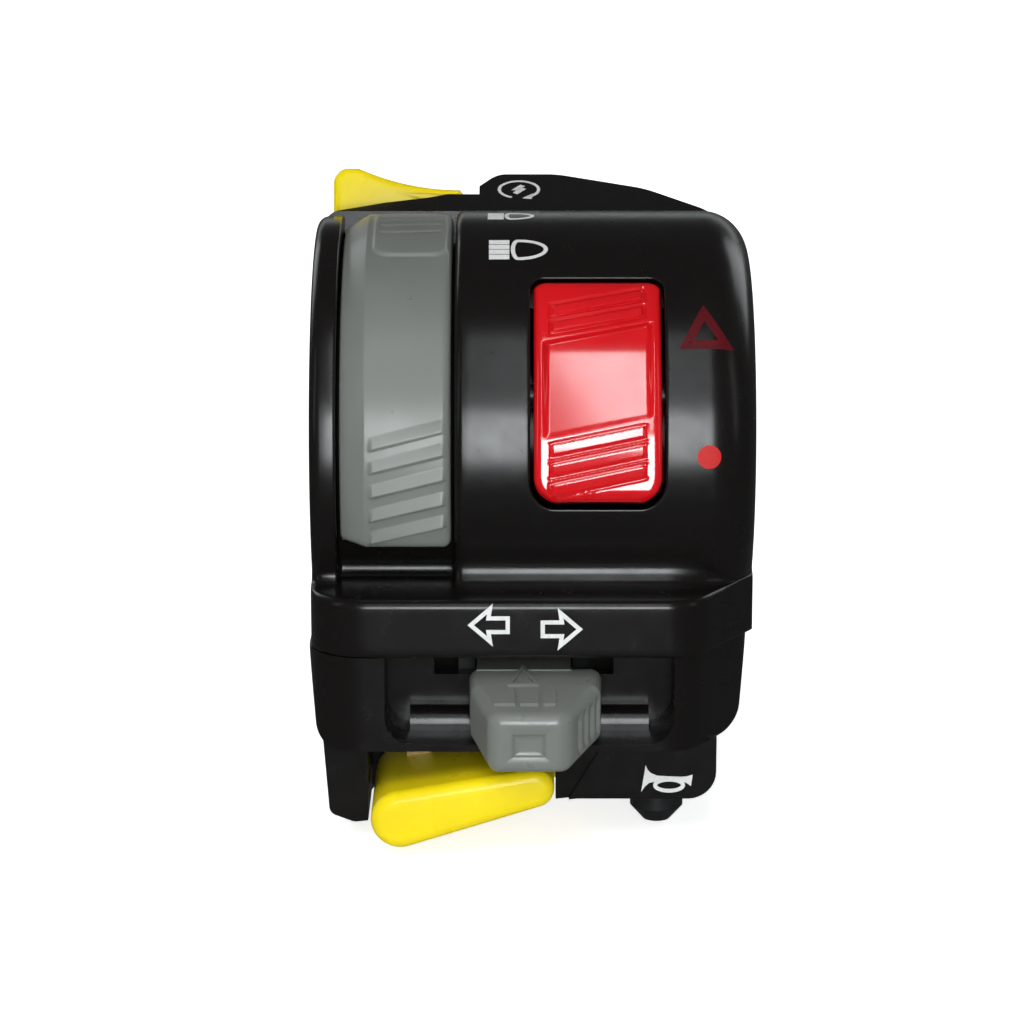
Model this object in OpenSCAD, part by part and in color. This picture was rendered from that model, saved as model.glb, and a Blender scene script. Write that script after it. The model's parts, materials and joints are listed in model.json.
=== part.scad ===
// Left-hand switch cluster for a motorcycle handlebar, in millimetres.
// X runs along the handlebar towards its inboard end, Y away from the rider and Z up.
// The origin is on the handlebar's axis, half way along the housing.

/* [Handlebar clamp] */
// Diameter of the handlebar held between the two shells
bar_d = 22.2; // [20:0.1:25.4]
// Wall of the shells round the handlebar
liner_t = 2.1; // [1.8:0.1:2.6]
// Lean of the plane where the front and rear shells meet, in degrees
clamp_tilt = 14; // [11:0.5:16]

/* [Housing] */
// Length of the housing along the handlebar
body_w = 47; // [46:0.5:52]
// Wall of the moulded housings
shell_t = 2.2; // [1.8:0.1:2.4]
// Radial room for the switch works between the liner and the drum's wall
works_room = 8.6; // [8.2:0.1:10]
// Rounding of the drum's inboard end
drum_round = 5; // [2:0.5:5]
// Height of the chin below the drum
chin_h = 6.2; // [5.6:0.1:8]
// Reach of the chin in front of the drum
chin_reach = 3.9; // [3.4:0.1:6]
// Height of the turn-switch block below the chin
block_h = 10.2; // [10:0.1:12]
// Height of the belly below the turn-switch block
belly_h = 6.6; // [6.4:0.1:8]

/* [Light rocker] */
// Width of the grey rocker along the handlebar
light_w = 11.7; // [10.5:0.1:12.5]
// Thickness of the grey rocker's shell
light_t = 3; // [2.4:0.1:3.4]
// Angle of the grey rocker's top end above the front, in degrees
light_top_deg = 80; // [74:1:82]
// Angle of the grey rocker's bottom end below the front, in degrees
light_bottom_deg = 34; // [28:1:36]
// Swing of the grey rocker from its upper to its lower place, in degrees
light_swing = 8; // [5:0.5:9]
// Number of grip ribs at the grey rocker's bottom
light_rib_count = 5; // [3:1:6]

/* [Kill rocker] */
// Width of the red rocker along the handlebar
kill_w = 13.4; // [11:0.1:14]
// Length of the red rocker round the drum
kill_len = 23.8; // [20:0.2:24.2]
// Angle of the red rocker's middle above the front, in degrees
kill_centre_deg = 9; // [7:0.1:12]
// Height of the red rocker's face over its pivot
kill_face_h = 4.8; // [4.4:0.1:5.4]
// Tilt of the red rocker from its middle to either end of its travel, in degrees
kill_tilt = 4.5; // [3:0.5:5]
// Diameter of the red rocker's pivot pin
kill_pin_d = 2.4; // [1.8:0.1:2.8]

/* [Turn switch] */
// Width of the thumb recess
recess_w = 30.4; // [29:0.2:32]
// Depth of the thumb recess behind the block's face
recess_d = 8.4; // [7.6:0.1:9]
// Length of the turn knob in front of the recess shelf
knob_reach = 10.1; // [9:0.1:11.5]
// Width of the turn knob at its root
knob_w = 14; // [12:0.2:15]
// Slide of the turn knob to either side
turn_travel = 4; // [2.5:0.1:4.4]
// Press of the turn knob that cancels the turn signal
knob_press = 1.5; // [0.8:0.1:1.6]

/* [Horn paddle] */
// Length of the horn paddle from its hinge to its tip
horn_len = 21.8; // [20:0.1:22.4]
// Press of the horn paddle, in degrees
horn_press = 5; // [3:0.5:5.5]
// Depth of the horn paddle from front to back
horn_depth = 18; // [15:0.5:19]

/* [Starter paddle] */
// Length of the starter paddle from its hinge to its tip
starter_len = 19; // [17:0.1:19.3]
// Depth of the starter paddle from front to back
starter_depth = 11.4; // [9:0.2:12]
// Press of the starter paddle, in degrees
starter_press = 5; // [3:0.5:5.5]
// Height of the starter block's top over the drum
hump_h = 4.9; // [4.4:0.1:6]

/* [Fasteners and outlet] */
// Diameter of the clamp screws
clamp_screw_d = 4; // [3:0.1:4.2]
// Diameter of the screws that hold the lower block
lower_screw_d = 3; // [2.5:0.1:3.2]
// Bore of the cable grommet
cable_d = 5; // [4:0.1:5.2]

/* [Fits] */
// Gap between a moving control and the housing round it
side_gap = 0.35; // [0.3:0.05:0.5]
// Radial play of a pin in the piece that turns on it
pin_play = 0.05; // [0.03:0.01:0.08]
// Gap between pieces that are seated on each other
seat_gap = 0.04; // [0.02:0.01:0.05]

/* [Hidden] */
$fn = 64;
big = 200;
over = 1;
arc_steps = 8;
hollow_deg = 93;

// Shared places round the handlebar
bar_r = bar_d / 2;
liner_r = bar_r + liner_t;
drum_in_r = liner_r + works_room;
drum_r = drum_in_r + shell_t;
x_left = -body_w / 2;
x_right = body_w / 2;
drum_step_round = 0.9;

// Light rocker and its channel
flange_t = 2.8;
flange_drop = 0.6;
flange_r = drum_r - flange_drop;
flange_round = 1.2;
light_drop = 0.2;
light_r = drum_r - light_drop;
light_in_r = light_r - light_t;
channel_r = light_in_r - side_gap;
channel_in_r = channel_r - shell_t;
channel_x0 = x_left + flange_t;
light_x0 = channel_x0 + side_gap;
light_x1 = light_x0 + light_w;
channel_x1 = light_x1 + side_gap;
light_bevel_w = 2.6;
light_bevel_h = 1.6;
light_round = 1;
light_rib_d = 0.9;
light_rib_pitch_deg = 6.1;
light_rib_first_deg = 7;
light_rib_lean = 14;
light_rib_left = 0.3;
light_rib_right = 0.2;
light_pad_h = 0.35;
light_pad_deg = 27;
light_pad_end_deg = 6;
light_top_rib_count = 3;
light_top_rib_pitch_deg = 5;
light_top_rib_first_deg = 12;
light_top_rib_lean = 4;
light_stem_deg = 16;
light_stem_mid_deg = 30;
light_stem_w = 3.4;
light_stem_below = 0.9;
light_stem_in_r = channel_in_r - light_stem_below;
light_stem_x = (light_x0 + light_x1) / 2;
light_wiper_t = 1;
light_wiper_w = 6;
light_wiper_deg = 20;
light_wiper_r = light_stem_in_r - seat_gap - light_wiper_t;
light_plate_t = 1.6;
light_plate_w = 10;
light_plate_deg = 56;
light_slot_play_deg = 1;

// Kill rocker, its window and its ears
kill_off_middle = 0.9;
kill_x = (channel_x1 + x_right) / 2 - kill_off_middle;
kill_proud = 0.2;
kill_pivot_r = drum_r + kill_proud - kill_face_h;
kill_pin_r = kill_pin_d / 2;
kill_face_r = 30;
kill_cap_t = 3.6;
kill_web_half = 4;
kill_web_inset = 1.5;
kill_web_w = kill_w - 2 * kill_web_inset;
kill_round_low = 2.4;
kill_round_top = 1.2;
kill_end_play = 0.2;
kill_end_h = kill_face_h - kill_face_r + sqrt(kill_face_r * kill_face_r - kill_len * kill_len / 4);
kill_end_gap = kill_end_h * sin(kill_tilt) + kill_end_play;
kill_rib_d = 0.8;
kill_rib_count = 3;
kill_rib_pitch = 2.1;
kill_rib_first = 2.4;
kill_rib_lean = 8;
kill_rib_inset = 1.9;
kill_ear_t = 1.7;
kill_ear_half = 3.4;
kill_pin_inset = 0.1;
kill_wiper_t = 0.5;
kill_wiper_w = 6;
kill_wiper_inset = 0.2;
kill_wiper_gap = 0.1;
kill_plate_t = 0.5;
kill_plate_w = 9;
kill_plate_deg = 50;
kill_plate_r = liner_r + seat_gap + kill_plate_t;
kill_web_drop = kill_pivot_r - kill_plate_r - kill_wiper_gap - kill_wiper_t - seat_gap
  - kill_web_half * sin(kill_tilt);
window_w = kill_w + 2 * side_gap;

// Chin, block and belly below the drum
chin_gap = 1;
chin_top = light_r * sin(clamp_tilt - light_bottom_deg - light_swing) - chin_gap;
chin_y = -drum_r - chin_reach;
chin_round = 2;
chin_corner_r = 6;
chin_cut_x = 6.7;
chin_cut_y = 11;
chin_blend_r = 5;
part_z = chin_top - chin_h;
block_set_back = 0.3;
block_front = chin_y + block_set_back;
block_left_out = 0.2;
block_left = x_left - block_left_out;
block_right_in = 0.6;
block_right = x_right - block_right_in;
block_rear_gap = 0.4;
block_back = part_z * tan(clamp_tilt) - block_rear_gap;
block_floor = part_z - seat_gap - block_h;
block_draft = 0.9;
block_round = 2.4;
lip_t = 0.7;
recess_x = -0.4;
recess_z = block_floor + lip_t;
recess_y = block_front + recess_d;
recess_round = 3;
shelf_d = 3.2;
shelf_h = 2.4;
shelf_end = 2.5;
shelf_w = recess_w - 2 * shelf_end;
shelf_y = recess_y - shelf_d;
cavity_front_t = 2;
cavity_floor_t = 2;
cavity_end_t = 2.7;
cavity_y0 = recess_y + cavity_front_t;
cavity_y1 = block_back - shell_t;
cavity_z = block_floor + cavity_floor_t;
cavity_x0 = block_left + cavity_end_t;
cavity_x1 = block_right - cavity_end_t;
belly_set_back = 4.2;
belly_front = block_front + belly_set_back;
belly_left_in = 1.2;
belly_left = block_left + belly_left_in;
belly_right_in = 3.4;
belly_right = block_right - belly_right_in;
belly_draft = 0.8;
belly_floor = block_floor - belly_h;
belly_drop = 2.6;
belly_round = 3;
belly_sink = 0.2;
belly_step_d = 0.7;
belly_step_top = 3.1;
belly_step_low = 0.9;
cheek_t = 4.9;
cheek_foot = 3.4;
cheek_rise = 1;
cheek_round = 1;

// Turn knob and carriage
knob_x = -0.2;
knob_root_h = 5.3;
knob_below_chin = 1.8;
knob_root_z = part_z - knob_below_chin - knob_root_h / 2;
knob_tip_w = 8;
knob_tip_x = -0.9;
knob_tip_h = 6.4;
knob_mid_d = 4.2;
knob_mid_h = 6.2;
knob_side_draft = 0.2;
knob_mid_w = knob_w - 2 * knob_side_draft;
knob_mid_drop = 1.3;
knob_mid_z = knob_root_z - knob_mid_drop;
knob_tip_drop = 3.05;
knob_tip_z = knob_root_z - knob_tip_drop;
knob_dish_w = 3.8;
knob_dish_h = 3.2;
knob_dish_d = 0.4;
knob_round = 1;
knob_root_y = shelf_y - knob_press - side_gap;
knob_tip_y = knob_root_y - knob_reach;
knob_rib_count = 4;
knob_rib_d = 0.7;
knob_rib_sink = 0.1;
knob_stem_w = 10;
knob_stem_h = 2;
knob_stem_x = -1;
knob_stem_below = 1.9;
knob_stem_z = part_z - knob_stem_below - knob_stem_h;
knob_stem_play = 0.25;
carriage_w = 14;
carriage_x = knob_stem_x - carriage_w / 2;
carriage_y0 = cavity_y0 + side_gap;
carriage_d = 7.2;
carriage_y1 = carriage_y0 + carriage_d;
carriage_under = 0.3;
carriage_over = 0.6;
carriage_z0 = cavity_z + carriage_under;
carriage_z1 = part_z - carriage_over;
carriage_wall = 0.8;
turn_spring_room = 4;
knob_stem_y = carriage_y1 - carriage_wall - turn_spring_room;
slot_w = knob_stem_w + 2 * turn_travel + 2 * side_gap + 2 * knob_stem_play;
slot_z0 = knob_stem_z - side_gap;
board_t = 1.4;
board_gap = 0.35;
board_y = carriage_y1 + board_gap;
board_w = 28;
board_over = 0.6;
board_z1 = part_z - board_over;
board_groove_d = 0.4;
board_groove_play = 0.4;
ball_r = 1.2;
ball_out = 0.2;
ball_from_end = 3.2;
ball_from_floor = 2;
ball_x = carriage_x + ball_from_end;
ball_z = carriage_z0 + ball_from_floor;
ball_bore_d = 4;
turn_wiper_t = 0.25;
turn_wiper_w = 4;
turn_wiper_h = 2.6;
turn_wiper_from_end = 5.6;
turn_wiper_up = 0.6;
turn_wiper_x = carriage_x + carriage_w - turn_wiper_from_end;

// Horn paddle in its pocket
horn_tip_gap = 0.5;
horn_hinge_x = belly_left + cheek_t + horn_tip_gap + horn_len;
horn_hinge_drop = 3.2;
horn_hinge_z = block_floor - horn_hinge_drop;
horn_pin_r = 1;
horn_barrel_r = 2.2;
horn_tip_x = horn_hinge_x - horn_len;
horn_tip_r = 3.1;
horn_tip_drop = 3.7;
horn_tip_z = horn_hinge_z - horn_tip_drop;
horn_end_r = 1.9;
horn_end_arm = 4.6;
horn_end_drop = 0.3;
horn_end_x = horn_hinge_x - horn_end_arm;
horn_end_z = horn_hinge_z - horn_end_drop;
horn_neck_up = 1.2;
horn_neck_down = 1.4;
horn_pocket_x0 = horn_tip_x - horn_tip_gap;
horn_pocket_x1 = horn_hinge_x + horn_barrel_r + side_gap;
horn_wall = 1.8;
horn_pocket_d = 9.8;
horn_back_gap = 0.4;
horn_pocket_y = belly_front + horn_wall + horn_pocket_d;
horn_front = horn_pocket_y - horn_back_gap - horn_depth;
horn_mouth_gap = 0.1;
horn_mouth_x = horn_hinge_x - horn_barrel_r - horn_mouth_gap;
horn_spring_arm = 10;
horn_spring_x = horn_hinge_x - horn_spring_arm;
horn_spring_from_back = 4.4;
horn_spring_y = horn_pocket_y - horn_spring_from_back;
horn_spring_hole_r = 2.3;
horn_spring_sink = 2.2;
horn_spring_z = horn_hinge_z - horn_spring_sink;
horn_pad_arm = 17;
horn_pad_x = horn_hinge_x - horn_pad_arm;
horn_pad_w = 2.6;
horn_pad_t = 0.5;
horn_pad_gap = 0.3;
horn_pad_sink = 0.3;
horn_pad_z = horn_tip_z + horn_tip_r - horn_pad_sink;
horn_pad_top = block_floor - horn_pad_t - horn_pad_gap - horn_pad_arm * sin(horn_press);
horn_pad_from_back = 2;
horn_pad_d = 3.8;
horn_pad_y1 = horn_pocket_y - horn_pad_from_back;
horn_pad_y0 = horn_pad_y1 - horn_pad_d;
horn_pin_cover = 0.4;
horn_pin_y0 = belly_front + belly_step_d + horn_pin_cover;
horn_pin_hold = 1.8;
horn_pin_y1 = horn_pocket_y + horn_pin_hold;

// Rear shell with the starter block
rear_t = 4.4;
rear_r = bar_r + rear_t;
hump_z = drum_r + hump_h;
hump_y = 8.5;
block_y = 18.4;
block_top_round = 2.5;
rear_flange_d = 6;
rear_round = 1;
rear_join_deg = 24;
rear_wall_drop = 1.4;
rear_brow_in = 1.5;
rear_brow_run = 7;
rear_brow_rise = 1.1;
rear_rise_arm = 8.3;
rear_rise = 1.8;
rear_foot_arm = 3.2;
rear_foot_rise = 2.9;
hump_left_arm = 0.7;
hump_right_arm = 6;
hump_fall_in = 5;
hump_fall_rise = 3;
rear_end_in = 4.2;
rear_end_rise = 0.2;
rear_end_drop = 4;
rear_blend_r = 2;
hump_blend_r = 3;
hump_fall_r = 12;
starter_tip_gap = 0.5;
starter_wall = 0.8;
starter_hinge_x = x_left + starter_wall + starter_tip_gap + starter_len;
starter_hinge_drop = 1.7;
starter_hinge_z = drum_r - starter_hinge_drop;
starter_pin_r = 1;
starter_barrel_r = 2.3;
starter_tip_x = starter_hinge_x - starter_len;
starter_over_hump = 0.3;
starter_top = hump_z + starter_over_hump;
starter_y0 = 4.3;
starter_y1 = starter_y0 + starter_depth;
starter_under = starter_hinge_z - starter_barrel_r;
starter_tip_lift = 0.6;
starter_round = 1.6;
starter_sweep_r = 28;
starter_sweep_arm = 4.85;
starter_sweep_x = starter_hinge_x - starter_sweep_arm;
starter_sweep_d = 2.4;
starter_sweep_z = starter_top - starter_sweep_d + starter_sweep_r;
starter_nose = 0.2;
starter_nose_gap = 0.5;
starter_under_hood = 0.6;
starter_pad_arm = 14.5;
starter_pad_x = starter_hinge_x - starter_pad_arm;
starter_pad_w = 2.8;
starter_pad_t = 0.3;
starter_pad_gap = 0.35;
starter_pad_travel = starter_pad_arm * sin(starter_press);
pocket_floor = starter_under - 2 * (starter_pad_t + seat_gap) - starter_pad_gap - starter_pad_travel;
pocket_gap = 0.4;
starter_pin_hold = 1.6;
wire_pass_r = 1.2;
pocket_x0 = starter_tip_x - starter_tip_gap;
pocket_x1 = starter_hinge_x + starter_barrel_r + side_gap;
hood_gap_x = 0.4;
hood_gap_z = 0.5;
hood_x = starter_hinge_x - starter_barrel_r - hood_gap_x;
hood_z = starter_hinge_z + starter_barrel_r + hood_gap_z;
starter_spring_arm = 8.6;
starter_spring_x = starter_hinge_x - starter_spring_arm;
starter_spring_y = (starter_y0 + starter_y1) / 2;
starter_spring_hole_r = 2.3;
starter_spring_up = 1.2;
starter_spring_z = starter_hinge_z + starter_spring_up;

// Springs
wire_r = 0.24;
spring_r = 1.7;
spring_turns = 3.5;
spring_sides = 6;
spring_steps = 9;
detent_spring_r = 0.8;
detent_spring_turns = 2;

// Screws and their seats
clamp_screw_r = clamp_screw_d / 2;
clamp_head_wide = 1.5;
clamp_head_r = clamp_screw_r + clamp_head_wide;
clamp_head_h = 2.6;
clamp_boss_wall = 1.3;
clamp_boss_r = clamp_screw_r + clamp_boss_wall;
clamp_head_play = 0.3;
clamp_tip_room = 0.3;
clamp_screw_depth = 8.5;
clamp_top_from_end = 5.9;
clamp_x_top = x_right - clamp_top_from_end;
clamp_top_up = 0.8;
clamp_z_top = liner_r + clamp_boss_r + clamp_top_up;
clamp_x_low = -4;
clamp_low_down = 0.6;
clamp_z_low = -(liner_r + clamp_screw_r + clamp_low_down);
clamp_low_seat = rear_flange_d;
clamp_top_seat = 7;
screw_play = 0.05;
drive_d = 2.2;
drive_depth = 1.2;
lower_screw_r = lower_screw_d / 2;
lower_head_r = 2.85;
lower_head_h = 4.2;
lower_head_taper_h = 1.6;
lower_head_taper = 1.4;
lower_tip_room = 0.3;
lower_post_r = 2.5;
lower_tip_cover = 1.4;
lower_screw_tip = chin_top - lower_tip_cover;
lower_front_from_end = 9.5;
lower_front_from_wall = 0.2;
lower_x_front = block_right - lower_front_from_end;
lower_y_front = cavity_y0 + lower_front_from_wall;
lower_back_from_end = 4.2;
lower_back_from_rear = 3.4;
lower_x_back = block_left + lower_back_from_end;
lower_y_back = block_back - lower_back_from_rear;
lower_back_hold = 4.6;
lower_back_tip = part_z + lower_back_hold;

// Cable grommet
cable_from_end = 8.7;
cable_from_rear = 4.7;
cable_x = block_right - cable_from_end;
cable_y = block_back - cable_from_rear;
grommet_wall = 0.9;
grommet_r = cable_d / 2 + grommet_wall;
grommet_flange_w = 0.8;
grommet_flange_r = grommet_r + grommet_flange_w;
grommet_flange_t = 1.2;
grommet_len = 5;

black = [0.07, 0.07, 0.07];
grey = [0.47, 0.48, 0.46];
red = [0.75, 0.05, 0.05];
yellow = [0.98, 0.9, 0.1];
brass = [0.8, 0.65, 0.3];
steel = [0.7, 0.71, 0.73];
board_green = [0.35, 0.25, 0.15];
rubber = [0.12, 0.12, 0.12];

// Frame of the clamp: its split plane is y = 0 here
module in_clamp() {
  rotate([-clamp_tilt, 0, 0]) children();
}

// Frame of the kill rocker: -Y points out of the drum at the rocker's middle
module in_kill() {
  in_clamp() rotate([-kill_centre_deg, 0, 0]) translate([kill_x, 0, 0]) children();
}

// Frame of the kill rocker's pivot, turned to its rest
module in_kill_rest() {
  in_kill() translate([0, -kill_pivot_r, 0]) rotate([-kill_tilt, 0, 0]) children();
}

// Revolve of a profile of (radius, place along the bar) between two angles above the front
module bar_sector(from_deg, to_deg) {
  rotate([0, 90, 0]) rotate_extrude(start = 270 - to_deg, angle = to_deg - from_deg) children();
}

// Prism of a (y, z) profile along X
module along_x(from_x, to_x) {
  translate([from_x, 0, 0]) rotate([90, 0, 90]) linear_extrude(to_x - from_x) children();
}

// Prism of an (x, z) profile along Y
module along_y(from_y, to_y) {
  translate([0, to_y, 0]) rotate([90, 0, 0]) linear_extrude(to_y - from_y) children();
}

// What a rounded corner takes off; into holds the signs that point into the solid
module corner_cut(at, into, r) {
  translate(at) difference() {
    translate([into[0] > 0 ? -over : -r, into[1] > 0 ? -over : -r]) square(r + over);
    translate(into * r) circle(r);
  }
}

// Rectangle from one corner to the other
module box2(from, to) {
  translate(from) square(to - from);
}

// Block from one corner to the other
module box3(from, to) {
  translate(from) cube(to - from);
}

// Round bar along X
module rod_x(from_x, to_x, r) {
  translate([from_x, 0, 0]) rotate([0, 90, 0]) cylinder(r = r, h = to_x - from_x);
}

// Round bar along Y
module rod_y(from_y, to_y, r) {
  translate([0, from_y, 0]) rotate([-90, 0, 0]) cylinder(r = r, h = to_y - from_y);
}

function unit(v) = v / norm(v);

function turned(v, a) = [v[0] * cos(a) - v[1] * sin(a), v[0] * sin(a) + v[1] * cos(a)];

// Arc of radius r that rounds a corner of an outline
function corner_arc(before, at, after, r) =
  let (
    a = unit(before - at),
    b = unit(after - at),
    half = acos(a * b) / 2,
    centre = at + unit(a + b) * r / sin(half),
    first = at + a * r / tan(half) - centre,
    last = at + b * r / tan(half) - centre,
    turn = sign(cross(first, last)) * (180 - 2 * half)
  )
  [for (i = [0 : arc_steps]) centre + turned(first, turn * i / arc_steps)];

// Outline through corners of [x, y, radius], where a radius of 0 keeps the corner sharp
function rounded(corners) =
  let (n = len(corners), at = [for (c = corners) [c[0], c[1]]])
  [
    for (i = [0 : n - 1])
      each corners[i][2] > 0
        ? corner_arc(at[(i + n - 1) % n], at[i], at[(i + 1) % n], corners[i][2])
        : [at[i]]
  ];

function coil_ring(r, t, rise, sides) = [
  for (k = [0 : sides - 1])
    let (a = 360 * k / sides, d = r + wire_r * cos(a))
      [d * cos(t), d * sin(t), rise + wire_r * sin(a)]
];

// Wound spring between z = 0 and z = height
module coil(r, height, turns) {
  rings = round(turns * spring_steps);
  run = height - 2 * wire_r;
  points = [
    for (i = [0 : rings])
      each coil_ring(r, 360 * turns * i / rings, wire_r + run * i / rings, spring_sides)
  ];
  sides = [
    for (i = [0 : rings - 1], k = [0 : spring_sides - 1])
      let (n = (k + 1) % spring_sides, a = i * spring_sides)
        each [
          [a + k, a + k + spring_sides, a + n],
          [a + n, a + k + spring_sides, a + n + spring_sides]
        ]
  ];
  first_cap = [for (k = [1 : spring_sides - 2]) [0, k, k + 1]];
  last = rings * spring_sides;
  last_cap = [for (k = [1 : spring_sides - 2]) [last, last + k + 1, last + k]];
  polyhedron(points = points, faces = concat(sides, first_cap, last_cap));
}

// Outline of the drum, the channel and the flange, as (radius, place along the bar)
module front_profile() {
  difference() {
    box2([bar_r, x_left], [flange_r, channel_x0]);
    corner_cut([flange_r, x_left], [-1, 1], flange_round);
  }
  box2([bar_r, x_left + over], [channel_r, channel_x1 + over]);
  difference() {
    box2([bar_r, channel_x1], [drum_r, x_right]);
    corner_cut([drum_r, x_right], [-1, -1], drum_round);
    corner_cut([drum_r, channel_x1], [-1, 1], drum_step_round);
  }
}

// Plan of the chin and the block: rounded at the outboard corner, swept back at the inboard one
module front_plan(left, right, front, back) {
  difference() {
    polygon(rounded([
      [left, front, 0],
      [right - chin_cut_x, front, chin_blend_r],
      [right, front + chin_cut_y, chin_blend_r],
      [right, back, 0],
      [left, back, 0]
    ]));
    corner_cut([left, front], [1, 1], chin_corner_r);
  }
}

// Chin under the drum, with a rounded front edge
module chin() {
  intersection() {
    translate([0, 0, part_z]) linear_extrude(chin_top - part_z)
      front_plan(x_left, x_right, chin_y, 0);
    along_x(x_left - over, x_right + over) difference() {
      box2([chin_y - over, part_z - over], [over, chin_top + over]);
      corner_cut([chin_y, chin_top], [1, -1], chin_round);
    }
    in_clamp() box3([-big, -big, -big], [big, 0, big]);
  }
}

// Ears that hold the kill rocker's pin
module kill_ears() {
  in_kill() for (side = [-1, 1])
    translate([side * (window_w + kill_ear_t) / 2, 0, 0])
      box3(
        [-kill_ear_t / 2, -drum_in_r - over, -kill_ear_half],
        [kill_ear_t / 2, -liner_r + over, kill_ear_half]
      );
}

// Bosses that the clamp screws turn into
module clamp_bosses() {
  in_clamp() {
    translate([clamp_x_top, 0, clamp_z_top])
      rod_y(-clamp_screw_depth - over, over, clamp_boss_r);
    translate([clamp_x_low, 0, clamp_z_low])
      rod_y(-clamp_screw_depth - over, over, clamp_boss_r);
  }
}

// Hollow behind the drum and the channel
module front_hollow() {
  difference() {
    in_clamp() bar_sector(-hollow_deg, hollow_deg) {
      box2([liner_r, x_left + shell_t], [channel_in_r, x_right - shell_t]);
      box2([liner_r, channel_x1 + shell_t], [drum_in_r, x_right - shell_t]);
    }
    box3([-big, -big, -big], [big, big, part_z + shell_t]);
    kill_ears();
    clamp_bosses();
    translate([lower_x_back, lower_y_back, part_z])
      cylinder(r = lower_post_r, h = lower_back_tip - part_z + over);
    translate([lower_x_front, lower_y_front, part_z])
      cylinder(r = lower_post_r, h = lower_screw_tip - part_z + over);
  }
}

// Outline of the kill rocker and, grown by a gap, of its window
module kill_outline(grow, end_grow) {
  half_w = kill_w / 2 + grow;
  half_l = kill_len / 2 + end_grow;
  difference() {
    box2([-half_w, -half_l], [half_w, half_l]);
    for (side = [-1, 1]) {
      corner_cut([side * half_w, -half_l], [-side, 1], kill_round_low);
      corner_cut([side * half_w, half_l], [-side, -1], kill_round_top);
    }
  }
}

module clamp_holes(r) {
  in_clamp() {
    translate([clamp_x_top, 0, clamp_z_top]) rod_y(-clamp_screw_depth, big, r);
    translate([clamp_x_low, 0, clamp_z_low]) rod_y(-clamp_screw_depth, big, r);
  }
}

module front_housing() {
  color(black) difference() {
    intersection() {
      union() {
        in_clamp() bar_sector(-90, 90) front_profile();
        chin();
      }
      box3([-big, -big, part_z], [big, big, big]);
    }
    front_hollow();
    in_kill() along_y(-drum_r - over, -kill_pivot_r) kill_outline(side_gap, kill_end_gap);
    in_kill() translate([0, -kill_pivot_r, 0])
      rod_x(-window_w / 2 - kill_ear_t, window_w / 2 + kill_ear_t, kill_pin_r + seat_gap / 2);
    in_clamp() bar_sector(
      light_stem_mid_deg - light_stem_deg / 2 - light_swing - light_slot_play_deg,
      light_stem_mid_deg + light_stem_deg / 2 + light_slot_play_deg
    ) box2(
      [channel_in_r - over, light_stem_x - light_stem_w / 2 - side_gap],
      [light_in_r, light_stem_x + light_stem_w / 2 + side_gap]
    );
    clamp_holes(clamp_screw_r + screw_play);
    translate([lower_x_front, lower_y_front, part_z - over])
      cylinder(r = lower_screw_r + screw_play, h = lower_screw_tip - part_z + over + lower_tip_room);
    translate([lower_x_back, lower_y_back, part_z - over])
      cylinder(r = lower_screw_r + screw_play, h = lower_back_tip - part_z + over + lower_tip_room);
  }
}

// Ring of the rear shell, its starter block and its bottom flange, full length
module rear_body() {
  difference() {
    union() {
      bar_sector(90, 270) difference() {
        box2([bar_r, x_left], [rear_r, x_right]);
        corner_cut([rear_r, x_left], [-1, 1], rear_round);
        corner_cut([rear_r, x_right], [-1, -1], rear_round);
      }
      along_x(x_left, x_right) difference() {
        polygon([
          [0, bar_r],
          [0, drum_r],
          [hump_y, hump_z],
          [block_y, hump_z],
          [block_y, bar_r],
          [(rear_r - over) * cos(rear_join_deg), (rear_r - over) * sin(rear_join_deg)]
        ]);
        corner_cut([block_y, hump_z], [-1, -1], block_top_round);
      }
      box3([x_left, 0, part_z / cos(clamp_tilt)], [x_right, rear_flange_d, -bar_r]);
    }
    rod_x(x_left - over, x_right + over, bar_r);
  }
}

// Front view of the rear shell: low over the starter paddle, then the hump
module rear_front() {
  polygon(rounded([
    [x_left, -drum_r, 0],
    [x_left, drum_r - rear_wall_drop, rear_blend_r / 2],
    [x_left + rear_brow_in, drum_r, rear_blend_r],
    [x_left + rear_brow_run, drum_r + rear_brow_rise, 0],
    [starter_hinge_x - rear_rise_arm, drum_r + rear_rise, hump_blend_r],
    [starter_hinge_x - rear_foot_arm, drum_r + rear_foot_rise, hump_blend_r],
    [starter_hinge_x - hump_left_arm, hump_z, hump_blend_r],
    [starter_hinge_x + hump_right_arm, hump_z, hump_fall_r],
    [clamp_x_top - hump_fall_in, drum_r + hump_fall_rise, hump_fall_r],
    [x_right - rear_end_in, drum_r + rear_end_rise, drum_round],
    [x_right, drum_r - rear_end_drop, rear_blend_r],
    [x_right, -drum_r, 0]
  ]));
}

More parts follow.
